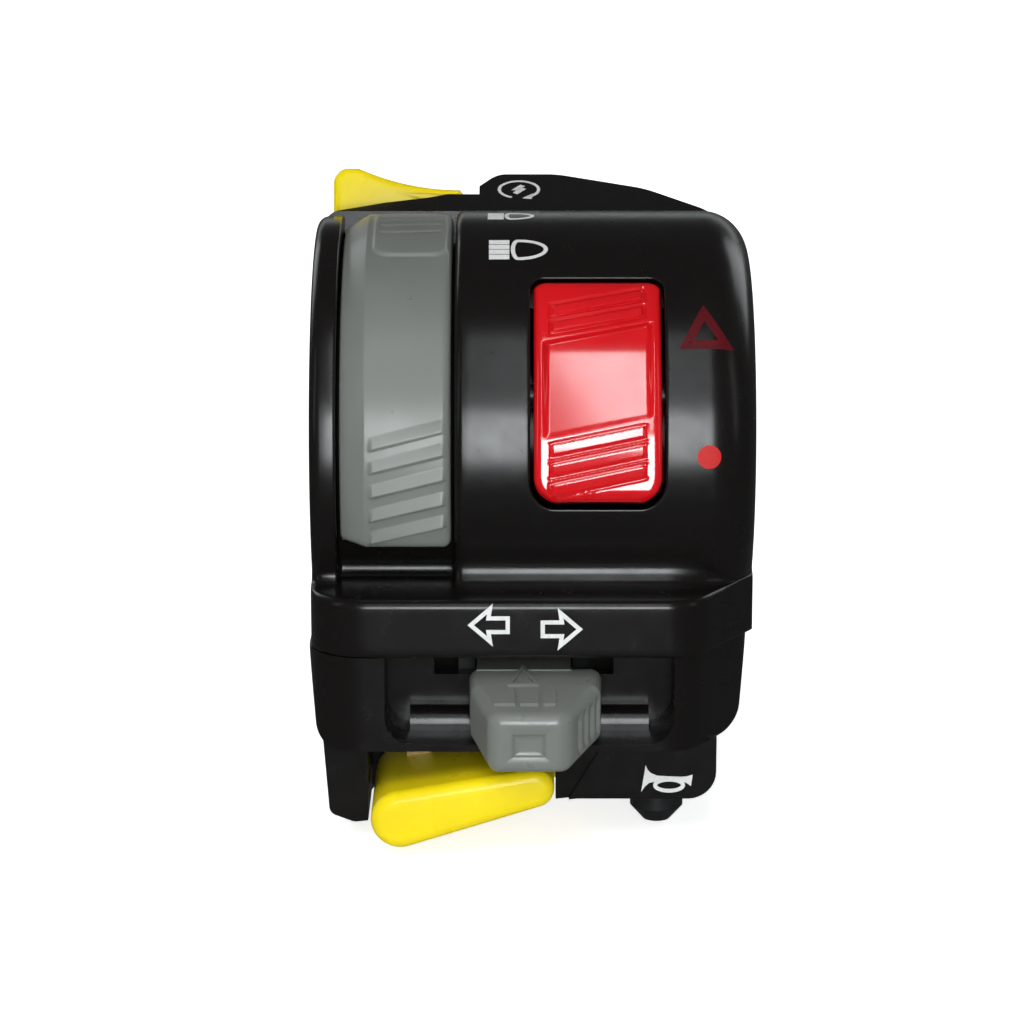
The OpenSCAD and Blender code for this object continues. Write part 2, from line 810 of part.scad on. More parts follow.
module rear_housing() {
  color(black) in_clamp() difference() {
    intersection() {
      rear_body();
      along_y(seat_gap, block_y + over) rear_front();
    }
    box3([pocket_x0, starter_y0 - pocket_gap, pocket_floor], [hood_x, starter_y1 + pocket_gap, big]);
    box3(
      [hood_x - over, starter_y0 - pocket_gap, pocket_floor],
      [pocket_x1, starter_y1 + pocket_gap, hood_z]
    );
    translate([starter_hinge_x, 0, starter_hinge_z])
      rod_y(starter_y0 - starter_pin_hold, starter_y1 + starter_pin_hold, starter_pin_r + seat_gap / 2);
    translate([starter_spring_x, 0, pocket_floor - wire_pass_r])
      rod_y(-over, starter_y0 + over, wire_pass_r);
    translate([clamp_x_top, 0, clamp_z_top]) {
      rod_y(-over, block_y + over, clamp_screw_r + screw_play);
      rod_y(clamp_top_seat, block_y + over, clamp_head_r + clamp_head_play);
    }
    translate([clamp_x_low, 0, clamp_z_low]) {
      rod_y(-over, block_y + over, clamp_screw_r + screw_play);
      rod_y(clamp_low_seat, block_y + over, clamp_head_r + clamp_head_play);
    }
  }
}

// Turn-switch block under the chin, with drafted ends and rounded lower corners
module block_body() {
  top = part_z - seat_gap;
  intersection() {
    translate([0, 0, block_floor]) linear_extrude(top - block_floor)
      front_plan(block_left, block_right, block_front, block_back);
    along_y(block_front - over, block_back + over) polygon(rounded([
      [block_left, top, 0],
      [block_left + block_draft, block_floor, block_round],
      [block_right - block_draft, block_floor, block_round],
      [block_right, top, 0]
    ]));
  }
}

// Belly under the block, deeper at the outboard cheek
module belly_body() {
  cheek_top = block_floor + block_round;
  top = block_floor + belly_sink;
  difference() {
    intersection() {
      along_x(belly_left - over, belly_right + over) difference() {
        box2([belly_front, belly_floor - belly_drop], [block_back, cheek_top]);
        box2([horn_pocket_y, belly_floor - big], [big, belly_floor]);
      }
      along_y(belly_front - over, block_back + over) polygon(rounded([
        [belly_left, cheek_top, 0],
        [belly_left + belly_draft, belly_floor - belly_drop + cheek_rise, cheek_round],
        [belly_left + cheek_foot, belly_floor - belly_drop, cheek_round],
        [horn_hinge_x, belly_floor, 0],
        [belly_right, belly_floor, belly_round],
        [belly_right, top, 0],
        [belly_left + cheek_foot, top, 0],
        [belly_left + cheek_foot, cheek_top, 0]
      ]));
    }
    belly_step();
  }
}

// Slanted step that sets the belly back beside the horn paddle
module belly_step() {
  along_y(belly_front - over, belly_front + belly_step_d) polygon([
    [horn_pocket_x0, block_floor],
    [horn_hinge_x + belly_step_top, block_floor],
    [horn_hinge_x - belly_step_low, belly_floor],
    [horn_hinge_x - belly_step_low, belly_floor - over],
    [horn_pocket_x0, belly_floor - over]
  ]);
}

// Thumb recess in front of the turn switch
module thumb_recess() {
  half = recess_w / 2;
  top = part_z + over;
  difference() {
    along_y(block_front - over, recess_y) difference() {
      box2([recess_x - half, recess_z], [recess_x + half, top]);
      corner_cut([recess_x - half, recess_z], [1, 1], recess_round);
      corner_cut([recess_x + half, recess_z], [-1, 1], recess_round);
    }
    box3(
      [recess_x - shelf_w / 2, shelf_y, recess_z - over],
      [recess_x + shelf_w / 2, recess_y + over, recess_z + shelf_h]
    );
  }
}

// Posts that take the lower screws up to the chin
module lower_posts() {
  translate([lower_x_front, lower_y_front, block_floor]) cylinder(r = lower_post_r, h = block_h);
  translate([lower_x_back, lower_y_back, block_floor]) cylinder(r = lower_post_r, h = block_h);
}

module lower_housing() {
  low = belly_floor - belly_drop - over;
  color(black) difference() {
    union() {
      block_body();
      belly_body();
    }
    thumb_recess();
    difference() {
      box3([cavity_x0, cavity_y0, cavity_z], [cavity_x1, cavity_y1, part_z + over]);
      lower_posts();
    }
    box3(
      [knob_stem_x - slot_w / 2, recess_y - over, slot_z0],
      [knob_stem_x + slot_w / 2, cavity_y0 + over, part_z + over]
    );
    box3([horn_pocket_x0, belly_front - over, low], [horn_mouth_x, horn_pocket_y, block_floor]);
    box3(
      [horn_mouth_x - over, belly_front + horn_wall, low],
      [horn_pocket_x1, horn_pocket_y, block_floor]
    );
    translate([horn_hinge_x, 0, horn_hinge_z])
      rod_y(horn_pin_y0, horn_pin_y1, horn_pin_r + seat_gap / 2);
    translate([lower_x_front, lower_y_front, low])
      cylinder(r = lower_screw_r + screw_play, h = part_z - low + over);
    translate([lower_x_back, lower_y_back, low])
      cylinder(r = lower_screw_r + screw_play, h = part_z - low + over);
    translate([cable_x, cable_y, low]) cylinder(r = grommet_r + seat_gap, h = cavity_z - low + over);
  }
}

// Leaning grip rib on a face turned about the bar
module bar_rib(deg, from_x, to_x, lean, r, d) {
  rotate([-deg, 0, 0]) translate([(from_x + to_x) / 2, -r, 0]) rotate([0, -lean, 0])
    rod_x((from_x - to_x) / 2, (to_x - from_x) / 2, d / 2);
}

module light_rocker() {
  rib_x0 = light_x0 + light_bevel_w + light_rib_left;
  rib_x1 = light_x1 - light_round - light_rib_right;
  pad_top = light_top_deg - light_pad_end_deg;
  color(grey) in_clamp() {
    bar_sector(-light_bottom_deg, light_top_deg) difference() {
      box2([light_in_r, light_x0], [light_r, light_x1]);
      polygon([
        [light_r, light_x0 + light_bevel_w],
        [light_r - light_bevel_h, light_x0],
        [light_r - light_bevel_h, light_x0 - over],
        [light_r + over, light_x0 - over],
        [light_r + over, light_x0 + light_bevel_w]
      ]);
      corner_cut([light_r, light_x1], [-1, -1], light_round);
    }
    for (i = [0 : light_rib_count - 1])
      bar_rib(
        -light_bottom_deg + light_rib_first_deg + i * light_rib_pitch_deg,
        rib_x0, rib_x1, light_rib_lean, light_r, light_rib_d
      );
    for (i = [0 : light_top_rib_count - 1])
      bar_rib(
        light_top_deg - light_top_rib_first_deg - i * light_top_rib_pitch_deg,
        rib_x0, rib_x1, light_top_rib_lean, light_r + light_pad_h, light_rib_d / 2
      );
    bar_sector(pad_top - light_pad_deg, pad_top) box2([light_in_r, rib_x0], [light_r + light_pad_h, rib_x1]);
    bar_sector(light_stem_mid_deg - light_stem_deg / 2, light_stem_mid_deg + light_stem_deg / 2)
      box2(
        [light_stem_in_r, light_stem_x - light_stem_w / 2],
        [light_in_r + over, light_stem_x + light_stem_w / 2]
      );
  }
}

module light_wiper() {
  color(brass) in_clamp()
    bar_sector(light_stem_mid_deg - light_wiper_deg / 2, light_stem_mid_deg + light_wiper_deg / 2)
      box2(
        [light_wiper_r, light_stem_x - light_wiper_w / 2],
        [light_wiper_r + light_wiper_t, light_stem_x + light_wiper_w / 2]
      );
}

module light_contact_plate() {
  color(brass) in_clamp()
    bar_sector(light_stem_mid_deg - light_plate_deg / 2, light_stem_mid_deg + light_plate_deg / 2)
      box2(
        [liner_r + seat_gap, light_stem_x - light_plate_w / 2],
        [liner_r + seat_gap + light_plate_t, light_stem_x + light_plate_w / 2]
      );
}

module kill_rocker() {
  face_y = -kill_face_h;
  color(red) in_kill_rest() difference() {
    union() {
      intersection() {
        along_y(face_y - over, face_y + kill_cap_t) kill_outline(0, 0);
        along_x(-kill_w, kill_w) translate([face_y + kill_face_r, 0]) circle(kill_face_r);
      }
      box3(
        [-kill_web_w / 2, face_y + kill_cap_t - over, -kill_web_half],
        [kill_web_w / 2, kill_web_drop, kill_web_half]
      );
      for (end = [-1, 1], i = [0 : kill_rib_count - 1]) {
        z = end * (kill_len / 2 - kill_rib_first - i * kill_rib_pitch);
        y = face_y + kill_face_r - sqrt(kill_face_r * kill_face_r - z * z);
        translate([0, y, z]) rotate([0, -kill_rib_lean, 0])
          rod_x(kill_rib_inset - kill_w / 2, kill_w / 2 - kill_rib_inset, kill_rib_d / 2);
      }
    }
    rod_x(-kill_w, kill_w, kill_pin_r + pin_play);
  }
}

module kill_pin() {
  reach = window_w / 2 + kill_ear_t - kill_pin_inset;
  color(steel) in_kill() translate([0, -kill_pivot_r, 0]) rod_x(-reach, reach, kill_pin_r);
}

module kill_wiper() {
  y = kill_web_drop + seat_gap;
  color(brass) in_kill_rest() box3(
    [-kill_wiper_w / 2, y, kill_wiper_inset - kill_web_half],
    [kill_wiper_w / 2, y + kill_wiper_t, kill_web_half - kill_wiper_inset]
  );
}

module kill_contact_plate() {
  color(brass) in_clamp()
    bar_sector(kill_centre_deg - kill_plate_deg / 2, kill_centre_deg + kill_plate_deg / 2)
      box2(
        [liner_r + seat_gap, kill_x - kill_plate_w / 2],
        [kill_plate_r, kill_x + kill_plate_w / 2]
      );
}

// Rounded corners of one end of the knob
module knob_end(x, y, z, w, h) {
  for (i = [-1, 1], k = [-1, 1])
    translate([x + i * (w / 2 - knob_round), y, z + k * (h / 2 - knob_round)])
      sphere(knob_round, $fn = 24);
}

module turn_knob() {
  mid_c = [knob_x + knob_mid_w / 2 - knob_round, knob_root_y - knob_mid_d];
  tip_c = [knob_tip_x + knob_tip_w / 2 - knob_round, knob_tip_y + knob_round];
  run = tip_c - mid_c;
  out = [-run[1], run[0]] / norm(run);
  rib_h = knob_tip_h - 2 * knob_round;
  color(grey) {
    difference() {
      hull() {
        knob_end(knob_x, knob_root_y - knob_round, knob_root_z, knob_w, knob_root_h);
        knob_end(knob_x, knob_root_y - knob_mid_d, knob_mid_z, knob_mid_w, knob_mid_h);
        knob_end(knob_tip_x, knob_tip_y + knob_round, knob_tip_z, knob_tip_w, knob_tip_h);
      }
      box3(
        [knob_tip_x - knob_dish_w / 2, knob_tip_y - over, knob_tip_z - knob_dish_h / 2],
        [knob_tip_x + knob_dish_w / 2, knob_tip_y + knob_dish_d, knob_tip_z + knob_dish_h / 2]
      );
    }
    for (i = [1 : knob_rib_count]) {
      t = i / (knob_rib_count + 1);
      at = mid_c + run * t + out * (knob_round - knob_rib_sink);
      translate([at[0], at[1], knob_mid_z + (knob_tip_z - knob_mid_z) * t - rib_h / 2])
        cylinder(d = knob_rib_d, h = rib_h);
    }
    box3(
      [knob_stem_x - knob_stem_w / 2, knob_root_y - knob_round, knob_stem_z],
      [knob_stem_x + knob_stem_w / 2, knob_stem_y, knob_stem_z + knob_stem_h]
    );
  }
}

module turn_carriage() {
  play = knob_stem_play;
  color(black) difference() {
    box3(
      [carriage_x, carriage_y0, carriage_z0],
      [carriage_x + carriage_w, carriage_y1, carriage_z1]
    );
    box3(
      [knob_stem_x - knob_stem_w / 2 - play, carriage_y0 - over, knob_stem_z - play],
      [knob_stem_x + knob_stem_w / 2 + play, carriage_y1 - carriage_wall, knob_stem_z + knob_stem_h + play]
    );
    translate([ball_x, 0, ball_z]) rod_y(carriage_y1 - ball_bore_d, carriage_y1 + over, ball_r + pin_play);
  }
}

module turn_spring() {
  color(steel) translate([knob_stem_x, knob_stem_y + seat_gap, knob_stem_z + knob_stem_h / 2])
    rotate([-90, 0, 0]) coil(detent_spring_r, turn_spring_room - 2 * seat_gap, spring_turns);
}

module turn_wiper() {
  y = carriage_y1 + seat_gap;
  z = carriage_z0 + turn_wiper_up;
  color(brass) box3(
    [turn_wiper_x, y, z],
    [turn_wiper_x + turn_wiper_w, y + turn_wiper_t, z + turn_wiper_h]
  );
}

module turn_board() {
  groove = ball_r + turn_travel + board_groove_play;
  color(board_green) difference() {
    box3(
      [knob_stem_x - board_w / 2, board_y, cavity_z + seat_gap],
      [knob_stem_x + board_w / 2, board_y + board_t, board_z1]
    );
    box3(
      [ball_x - groove, board_y - over, ball_z - ball_r],
      [ball_x + groove, board_y + board_groove_d, ball_z + ball_r]
    );
  }
}

module turn_detent_ball() {
  color(steel) translate([ball_x, carriage_y1 + board_gap + ball_out - ball_r, ball_z]) sphere(ball_r);
}

module turn_detent_spring() {
  from_y = carriage_y1 - ball_bore_d + seat_gap;
  to_y = carriage_y1 + board_gap + ball_out - 2 * ball_r - seat_gap;
  color(steel) translate([ball_x, from_y, ball_z]) rotate([-90, 0, 0])
    coil(detent_spring_r, to_y - from_y, detent_spring_turns);
}

// Front view of the horn paddle
module horn_outline() {
  hull() {
    translate([horn_tip_x + horn_tip_r, horn_tip_z]) circle(horn_tip_r, $fn = 48);
    translate([horn_end_x, horn_end_z]) circle(horn_end_r, $fn = 32);
  }
}

module horn_button() {
  back = horn_front + horn_depth;
  barrel_y = belly_front + horn_wall + side_gap;
  color(yellow) difference() {
    union() {
      along_y(horn_front, back) horn_outline();
      translate([horn_hinge_x, 0, horn_hinge_z]) rod_y(barrel_y, back, horn_barrel_r);
      box3(
        [horn_end_x - over, barrel_y, horn_end_z - horn_neck_down],
        [horn_hinge_x, back, horn_end_z + horn_neck_up]
      );
    }
    translate([horn_hinge_x, 0, horn_hinge_z]) rod_y(horn_front, back + over, horn_pin_r + pin_play);
    translate([horn_spring_x, horn_spring_y, horn_spring_z])
      cylinder(r = horn_spring_hole_r, h = horn_hinge_drop + over);
    box3(
      [horn_pad_x - horn_pad_w, horn_pad_y0 - over, horn_pad_z],
      [horn_pad_x + horn_pad_w, back + over, block_floor]
    );
  }
}

module horn_pin() {
  color(steel) translate([horn_hinge_x, 0, horn_hinge_z])
    rod_y(horn_pin_y0 + seat_gap, horn_pin_y1 - seat_gap, horn_pin_r);
}

module horn_spring() {
  from_z = horn_spring_z + seat_gap;
  color(steel) translate([horn_spring_x, horn_spring_y, from_z])
    coil(spring_r, block_floor - seat_gap - from_z, spring_turns);
}

module horn_moving_contact() {
  color(brass) box3(
    [horn_pad_x - horn_pad_w / 2, horn_pad_y0, horn_pad_z + seat_gap],
    [horn_pad_x + horn_pad_w / 2, horn_pad_y1, horn_pad_top]
  );
}

module horn_fixed_contact() {
  color(brass) box3(
    [horn_pad_x - horn_pad_w / 2, horn_pad_y0, block_floor - seat_gap - horn_pad_t],
    [horn_pad_x + horn_pad_w / 2, horn_pad_y1, block_floor - seat_gap]
  );
}

// Front view of the starter paddle, hollowed along its top
module starter_outline() {
  difference() {
    polygon([
      [starter_tip_x, starter_under + starter_tip_lift],
      [starter_tip_x, starter_top],
      [starter_sweep_x, starter_top],
      [starter_sweep_x, starter_top - starter_sweep_d + starter_nose],
      [hood_x - starter_nose_gap, hood_z - starter_under_hood],
      [starter_hinge_x, hood_z - starter_under_hood],
      [starter_hinge_x, starter_under],
      [starter_tip_x + starter_round, starter_under]
    ]);
    translate([starter_sweep_x, starter_sweep_z]) circle(starter_sweep_r, $fn = 128);
    corner_cut([starter_tip_x, starter_top], [1, -1], starter_round);
  }
}

module starter_button() {
  color(yellow) in_clamp() difference() {
    union() {
      along_y(starter_y0, starter_y1) starter_outline();
      translate([starter_hinge_x, 0, starter_hinge_z]) rod_y(starter_y0, starter_y1, starter_barrel_r);
    }
    translate([starter_hinge_x, 0, starter_hinge_z])
      rod_y(starter_y0 - over, starter_y1 + over, starter_pin_r + pin_play);
    translate([starter_spring_x, starter_spring_y, pocket_floor])
      cylinder(r = starter_spring_hole_r, h = starter_spring_z - pocket_floor);
  }
}

module starter_pin() {
  color(steel) in_clamp() translate([starter_hinge_x, 0, starter_hinge_z])
    rod_y(starter_y0 - starter_pin_hold + seat_gap, starter_y1 + starter_pin_hold - seat_gap, starter_pin_r);
}

module starter_spring() {
  from_z = pocket_floor + seat_gap;
  color(steel) in_clamp() translate([starter_spring_x, starter_spring_y, from_z])
    coil(spring_r, starter_spring_z - seat_gap - from_z, spring_turns);
}

module starter_moving_contact() {
  top = starter_under - seat_gap;
  color(brass) in_clamp() box3(
    [starter_pad_x - starter_pad_w / 2, starter_spring_y - starter_pad_w / 2, top - starter_pad_t],
    [starter_pad_x + starter_pad_w / 2, starter_spring_y + starter_pad_w / 2, top]
  );
}

module starter_fixed_contact() {
  floor_z = pocket_floor + seat_gap;
  color(brass) in_clamp() box3(
    [starter_pad_x - starter_pad_w / 2, starter_spring_y - starter_pad_w / 2, floor_z],
    [starter_pad_x + starter_pad_w / 2, starter_spring_y + starter_pad_w / 2, floor_z + starter_pad_t]
  );
}

// Cap screw along -Y with its head's underside at y = 0
module clamp_screw(len) {
  difference() {
    union() {
      rod_y(-len, over, clamp_screw_r);
      rod_y(seat_gap, clamp_head_h, clamp_head_r);
    }
    rod_y(clamp_head_h - drive_depth, clamp_head_h + over, drive_d / 2);
  }
}

module clamp_screws() {
  reach = clamp_screw_depth - clamp_tip_room;
  color(steel) in_clamp() {
    translate([clamp_x_top, clamp_top_seat, clamp_z_top]) clamp_screw(clamp_top_seat + reach);
    translate([clamp_x_low, clamp_low_seat, clamp_z_low]) clamp_screw(clamp_low_seat + reach);
  }
}

// Screw up through the belly with its head's top side at z = 0
module lower_screw(len) {
  difference() {
    union() {
      translate([0, 0, -over]) cylinder(r = lower_screw_r, h = len + over);
      translate([0, 0, -lower_head_h])
        cylinder(r1 = lower_head_r - lower_head_taper, r2 = lower_head_r, h = lower_head_taper_h);
      translate([0, 0, lower_head_taper_h - lower_head_h])
        cylinder(r = lower_head_r, h = lower_head_h - lower_head_taper_h - seat_gap);
    }
    translate([0, 0, -lower_head_h - over]) cylinder(d = drive_d, h = drive_depth + over);
  }
}

module lower_screws() {
  color(steel) {
    translate([lower_x_front, lower_y_front, belly_floor]) lower_screw(lower_screw_tip - belly_floor);
    translate([lower_x_back, lower_y_back, belly_floor]) lower_screw(lower_back_tip - belly_floor);
  }
}

module cable_grommet() {
  color(rubber) translate([cable_x, cable_y, belly_floor]) difference() {
    union() {
      cylinder(r = grommet_r, h = grommet_len);
      translate([0, 0, -grommet_flange_t]) cylinder(r = grommet_flange_r, h = grommet_flange_t - seat_gap);
      translate([0, 0, -over]) cylinder(r = grommet_r, h = 2 * over);
    }
    translate([0, 0, -grommet_flange_t - over])
      cylinder(d = cable_d, h = grommet_len + grommet_flange_t + 2 * over);
  }
}

front_housing();
rear_housing();
lower_housing();
light_rocker();
light_wiper();
light_contact_plate();
kill_rocker();
kill_pin();
kill_wiper();
kill_contact_plate();
turn_knob();
turn_carriage();
turn_spring();
turn_wiper();
turn_board();
turn_detent_ball();
turn_detent_spring();
horn_button();
horn_pin();
horn_spring();
horn_moving_contact();
horn_fixed_contact();
starter_button();
starter_pin();
starter_spring();
starter_moving_contact();
starter_fixed_contact();
clamp_screws();
lower_screws();
cable_grommet();
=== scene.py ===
"""Looks of a handlebar switch cluster: moulded shells, rockers, thumb knob, paddles and printed signs."""

import json
import math
from functools import cache

import bmesh
import bpy
import numpy as np
from bpy.props import FloatProperty, FloatVectorProperty, PointerProperty
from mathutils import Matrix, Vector


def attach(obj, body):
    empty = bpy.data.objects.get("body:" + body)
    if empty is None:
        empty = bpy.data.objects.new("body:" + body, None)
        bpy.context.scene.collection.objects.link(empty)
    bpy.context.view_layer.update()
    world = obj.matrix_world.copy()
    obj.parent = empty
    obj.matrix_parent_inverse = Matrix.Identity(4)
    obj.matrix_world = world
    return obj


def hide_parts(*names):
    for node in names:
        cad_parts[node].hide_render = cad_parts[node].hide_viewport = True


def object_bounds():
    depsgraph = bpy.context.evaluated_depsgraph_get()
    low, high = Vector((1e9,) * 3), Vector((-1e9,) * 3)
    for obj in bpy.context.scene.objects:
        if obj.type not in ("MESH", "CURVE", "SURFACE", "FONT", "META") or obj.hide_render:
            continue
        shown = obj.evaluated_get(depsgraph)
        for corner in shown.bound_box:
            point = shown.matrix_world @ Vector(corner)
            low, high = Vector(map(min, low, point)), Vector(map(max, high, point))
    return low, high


bl_info = {
    "name": "Handlebar Switch Cluster",
    "version": (1, 0, 0),
    "blender": (4, 5, 0),
    "location": "3D View > Sidebar > Switch Cluster",
    "description": "Dresses a packed handlebar switch cluster with moulded shells, controls and signs",
    "category": "Object",
}

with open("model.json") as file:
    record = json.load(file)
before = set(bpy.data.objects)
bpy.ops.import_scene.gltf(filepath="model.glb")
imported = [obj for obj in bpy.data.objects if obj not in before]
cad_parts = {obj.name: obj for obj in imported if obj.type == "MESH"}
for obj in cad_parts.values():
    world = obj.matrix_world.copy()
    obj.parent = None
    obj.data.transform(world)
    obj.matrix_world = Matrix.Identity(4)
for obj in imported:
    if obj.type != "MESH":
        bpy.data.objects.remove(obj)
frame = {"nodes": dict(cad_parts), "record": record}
CAD_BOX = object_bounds()

MM = 0.001

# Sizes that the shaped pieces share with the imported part, in millimetres and degrees
TILT = 14.0
X_LEFT, X_RIGHT = -23.5, 23.5
BAR_R, LINER_R = 11.1, 13.2
DRUM_R, DRUM_IN_R = 24.0, 21.8
DRUM_X0, DRUM_ROUND, DRUM_EDGE = -8.3, 5.0, 0.9
FLANGE_R, FLANGE_X1, FLANGE_ROUND = 23.4, -20.7, 1.2
CHANNEL_R = 20.45
SHELL_T, END_WALL_LOW = 2.2, 17.6
CHIN_TOP, CHIN_Y = -12.173, -27.9
CHIN_LEFT_R, CHIN_CUT_X, CHIN_CUT_Y, CHIN_BLEND_R = 6.0, 6.7, 11.0, 5.0
PART_Z = -18.373
BELLY_Y = -23.4
SHELF_Y, SHELF_Z = -22.4, -25.513
HUMP_Y, HUMP_H = 8.5, 4.9
KILL_CENTRE, KILL_X, KILL_PIVOT, KILL_TILT = 9.0, 6.7, 19.4, 4.5
KILL_W, KILL_L = 6.7, 11.9
WINDOW_W, WINDOW_L, WINDOW_LOW_R, WINDOW_TOP_R = 7.05, 12.28, 2.65, 1.45
LIGHT_X0, LIGHT_X1 = -20.35, -8.65
LIGHT_R, LIGHT_IN_R = 23.8, 20.8
LIGHT_LOW, LIGHT_TOP = -34.0, 80.0
LIGHT_BEVEL_X, LIGHT_BEVEL_R = 2.6, 1.6
KNOB_STOPS = np.array([-24.25, -28.45, -34.35])
KNOB_LEFT, KNOB_RIGHT = np.array([-6.8, -6.6, -4.5]), np.array([7.2, 7.0, 3.5])
KNOB_LOW, KNOB_TOP = np.array([-25.473, -27.22, -29.073]), np.array([-20.173, -21.02, -22.673])

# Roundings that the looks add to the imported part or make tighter, in millimetres
CHIN_ROUND, CHIN_FOOT = 0.9, 0.45
SILL_ROUND, WINDOW_RIM = 1.7, 0.3
HOLLOW_DRUM, HOLLOW_CHANNEL = 2.4, 1.0
HOLLOW_SHARE, EDGE_SHARE = 0.3, 0.45

# Stage in metres and watts. Boxes: name, place, width, height, power and whether gloss shows them
FLOOR_HALF, FLOOR_POINTS, FLOOR_DROP, FLOOR_WHITE = 1.6, 17, 0.0004, 0.72
SKY_LEVEL = 0.06
SUN_POWER, SUN_SPREAD, SUN_WAY = 1.15, 50.0, (0.25, 0.45, -0.86)
LAMP_TINT, LAMP_AIM = (0.94, 0.985, 1.0), (0.0, -0.01, -0.005)
LAMP_BOXES = (
    ("front_strip", (0.008, -0.50, 0.072), 0.12, 0.22, 1.25, True),
    ("front_fill", (0.0, -0.60, 0.20), 0.50, 0.40, 0.45, False),
    ("rocker_strip", (0.018, -0.39, 0.35), 0.027, 0.36, 0.26, True),
    ("rim_box", (0.0, 0.55, 0.16), 0.60, 0.10, 0.12, True),
    ("back_left", (-0.48, 0.45, 0.30), 0.36, 0.36, 0.75, True),
    ("back_right", (0.48, 0.45, 0.30), 0.36, 0.36, 0.75, True),
    ("left_box", (-0.55, -0.30, 0.25), 0.10, 0.40, 0.15, True),
    ("right_box", (0.55, -0.25, 0.22), 0.10, 0.40, 0.10, True),
)

# View: focal length and picture side in pixels, sensor and middle in millimetres, distance in metres
VIEW_FOCAL, VIEW_SIDE = 3617.0, 1024.0
VIEW_SENSOR, VIEW_X, VIEW_UP = 36.0, -2.25, -9.25
VIEW_AWAY = 0.400

# Finish: noise in waves a metre, relief in metres
DRIFT_WAVES, GLOSS_WAVES, GRAIN_WAVES, GRAIN_DEPTH = 90.0, 420.0, 5200.0, 0.00004
TARNISH_WAVES, COVER_WAVES, INK_WAVES = 700.0, 2600.0, 1500.0

# Edges sharper than this many degrees stay sharp
SMOOTH_TO = 38.0

COLOUR = {"size": 3, "subtype": "COLOR", "min": 0.0, "max": 1.0}


class ClusterSizes(bpy.types.PropertyGroup):
    """Sizes of the pieces that this file shapes itself"""

    clamp_tilt: FloatProperty(
        name="Clamp tilt", description="Lean of the split between the shells",
        default=math.radians(TILT), subtype="ANGLE")
    edge_r: FloatProperty(
        name="Edge rounding", description="Rounding of the moulded housings' edges",
        default=0.00035, unit="LENGTH")
    rib_h: FloatProperty(
        name="Grip rib height", description="Height of the grip ribs on the light rocker",
        default=0.00032, unit="LENGTH")
    print_t: FloatProperty(
        name="Print thickness", description="Thickness of the printed signs",
        default=0.00003, unit="LENGTH")


class ClusterColours(bpy.types.PropertyGroup):
    """Colours of the mouldings, prints and backdrop"""

    housing: FloatVectorProperty(
        name="Housing", description="Black of the moulded housings",
        default=(0.0062, 0.0052, 0.0049), **COLOUR)
    grey: FloatVectorProperty(
        name="Grey controls", description="Grey of the light rocker and the turn knob",
        default=(0.165, 0.175, 0.160), **COLOUR)
    red: FloatVectorProperty(
        name="Kill rocker", description="Red of the kill rocker", default=(0.60, 0.004, 0.008), **COLOUR)
    yellow: FloatVectorProperty(
        name="Paddles", description="Yellow of the horn and starter paddles",
        default=(0.90, 0.70, 0.006), **COLOUR)
    white_print: FloatVectorProperty(
        name="White print", description="White of the printed signs", default=(0.80, 0.80, 0.79), **COLOUR)
    red_print: FloatVectorProperty(
        name="Red print", description="Red of the printed dot", default=(0.56, 0.012, 0.010), **COLOUR)
    dark_red_print: FloatVectorProperty(
        name="Dark red print", description="Dark red of the printed triangle",
        default=(0.095, 0.003, 0.006), **COLOUR)
    backdrop: FloatVectorProperty(
        name="Backdrop", description="White of the floor", default=(0.94, 0.94, 0.94), **COLOUR)


# Frames

def section(x, p):
    """Points at places x along the bar, with Y and Z from the parts of a complex number."""
    return np.stack([x + 0 * p.real, p.real, p.imag], -1)


def turn_x(points, degrees):
    """Points turned about the X axis by the right-hand rule."""
    p = (points[..., 1] + 1j * points[..., 2]) * np.exp(1j * math.radians(degrees))
    return section(points[..., 0], p)


def from_clamp(points):
    """Clamp frame to part frame: a turn about X by minus the clamp's tilt."""
    return turn_x(points, -math.degrees(bpy.context.scene.cluster_sizes.clamp_tilt))


def from_kill(points):
    """Kill rocker frame to part frame: lean to its rest, out to the pivot, then round the drum."""
    at_pivot = turn_x(points, -KILL_TILT) + np.array([KILL_X, -KILL_PIVOT, 0.0])
    return from_clamp(turn_x(at_pivot, -KILL_CENTRE))


# Profiles and lofts

def plane(points):
    """Points of two coordinates as complex numbers."""
    points = np.asarray(points, float)
    return points[..., 0] + 1j * points[..., 1]


def pairs(p):
    """Complex numbers as points of two coordinates."""
    return np.stack([p.real, p.imag], -1)


def fillet_loops(corners, radii, arc_n=6, edge_n=1):
    """Closed loops through corners with round fillets.

    corners is (loops, k, 2) and radii (loops, k). At each corner the fillet's centre lies on the corner's
    bisector at radius / sin(half angle), and its points turn from one tangent to the other in arc_n steps.
    edge_n, one count or one per edge, adds points along the straight runs. Returns (loops, points, 2).
    """
    p = plane(corners)
    back, ahead = np.roll(p, 1, axis=1) - p, np.roll(p, -1, axis=1) - p
    back, ahead = back / np.abs(back), ahead / np.abs(ahead)
    half = 0.5 * np.abs(np.angle(ahead / back))
    mid = (back + ahead) / np.abs(back + ahead)
    centre = p + mid * radii / np.sin(half)
    v0, v1 = (p + way * radii / np.tan(half) - centre for way in (back, ahead))
    turn = np.angle(v1 / v0)[..., None] * np.linspace(0.0, 1.0, arc_n + 1)
    arcs = centre[..., None] + v0[..., None] * np.exp(1j * turn)
    runs = []
    for i, n in enumerate(np.broadcast_to(edge_n, p.shape[1])):
        start, end = arcs[:, i, -1:], arcs[:, (i + 1) % p.shape[1], :1]
        runs += [arcs[:, i], start + (end - start) * np.linspace(0.0, 1.0, n + 1)[1:-1]]
    return pairs(np.concatenate(runs, axis=1))


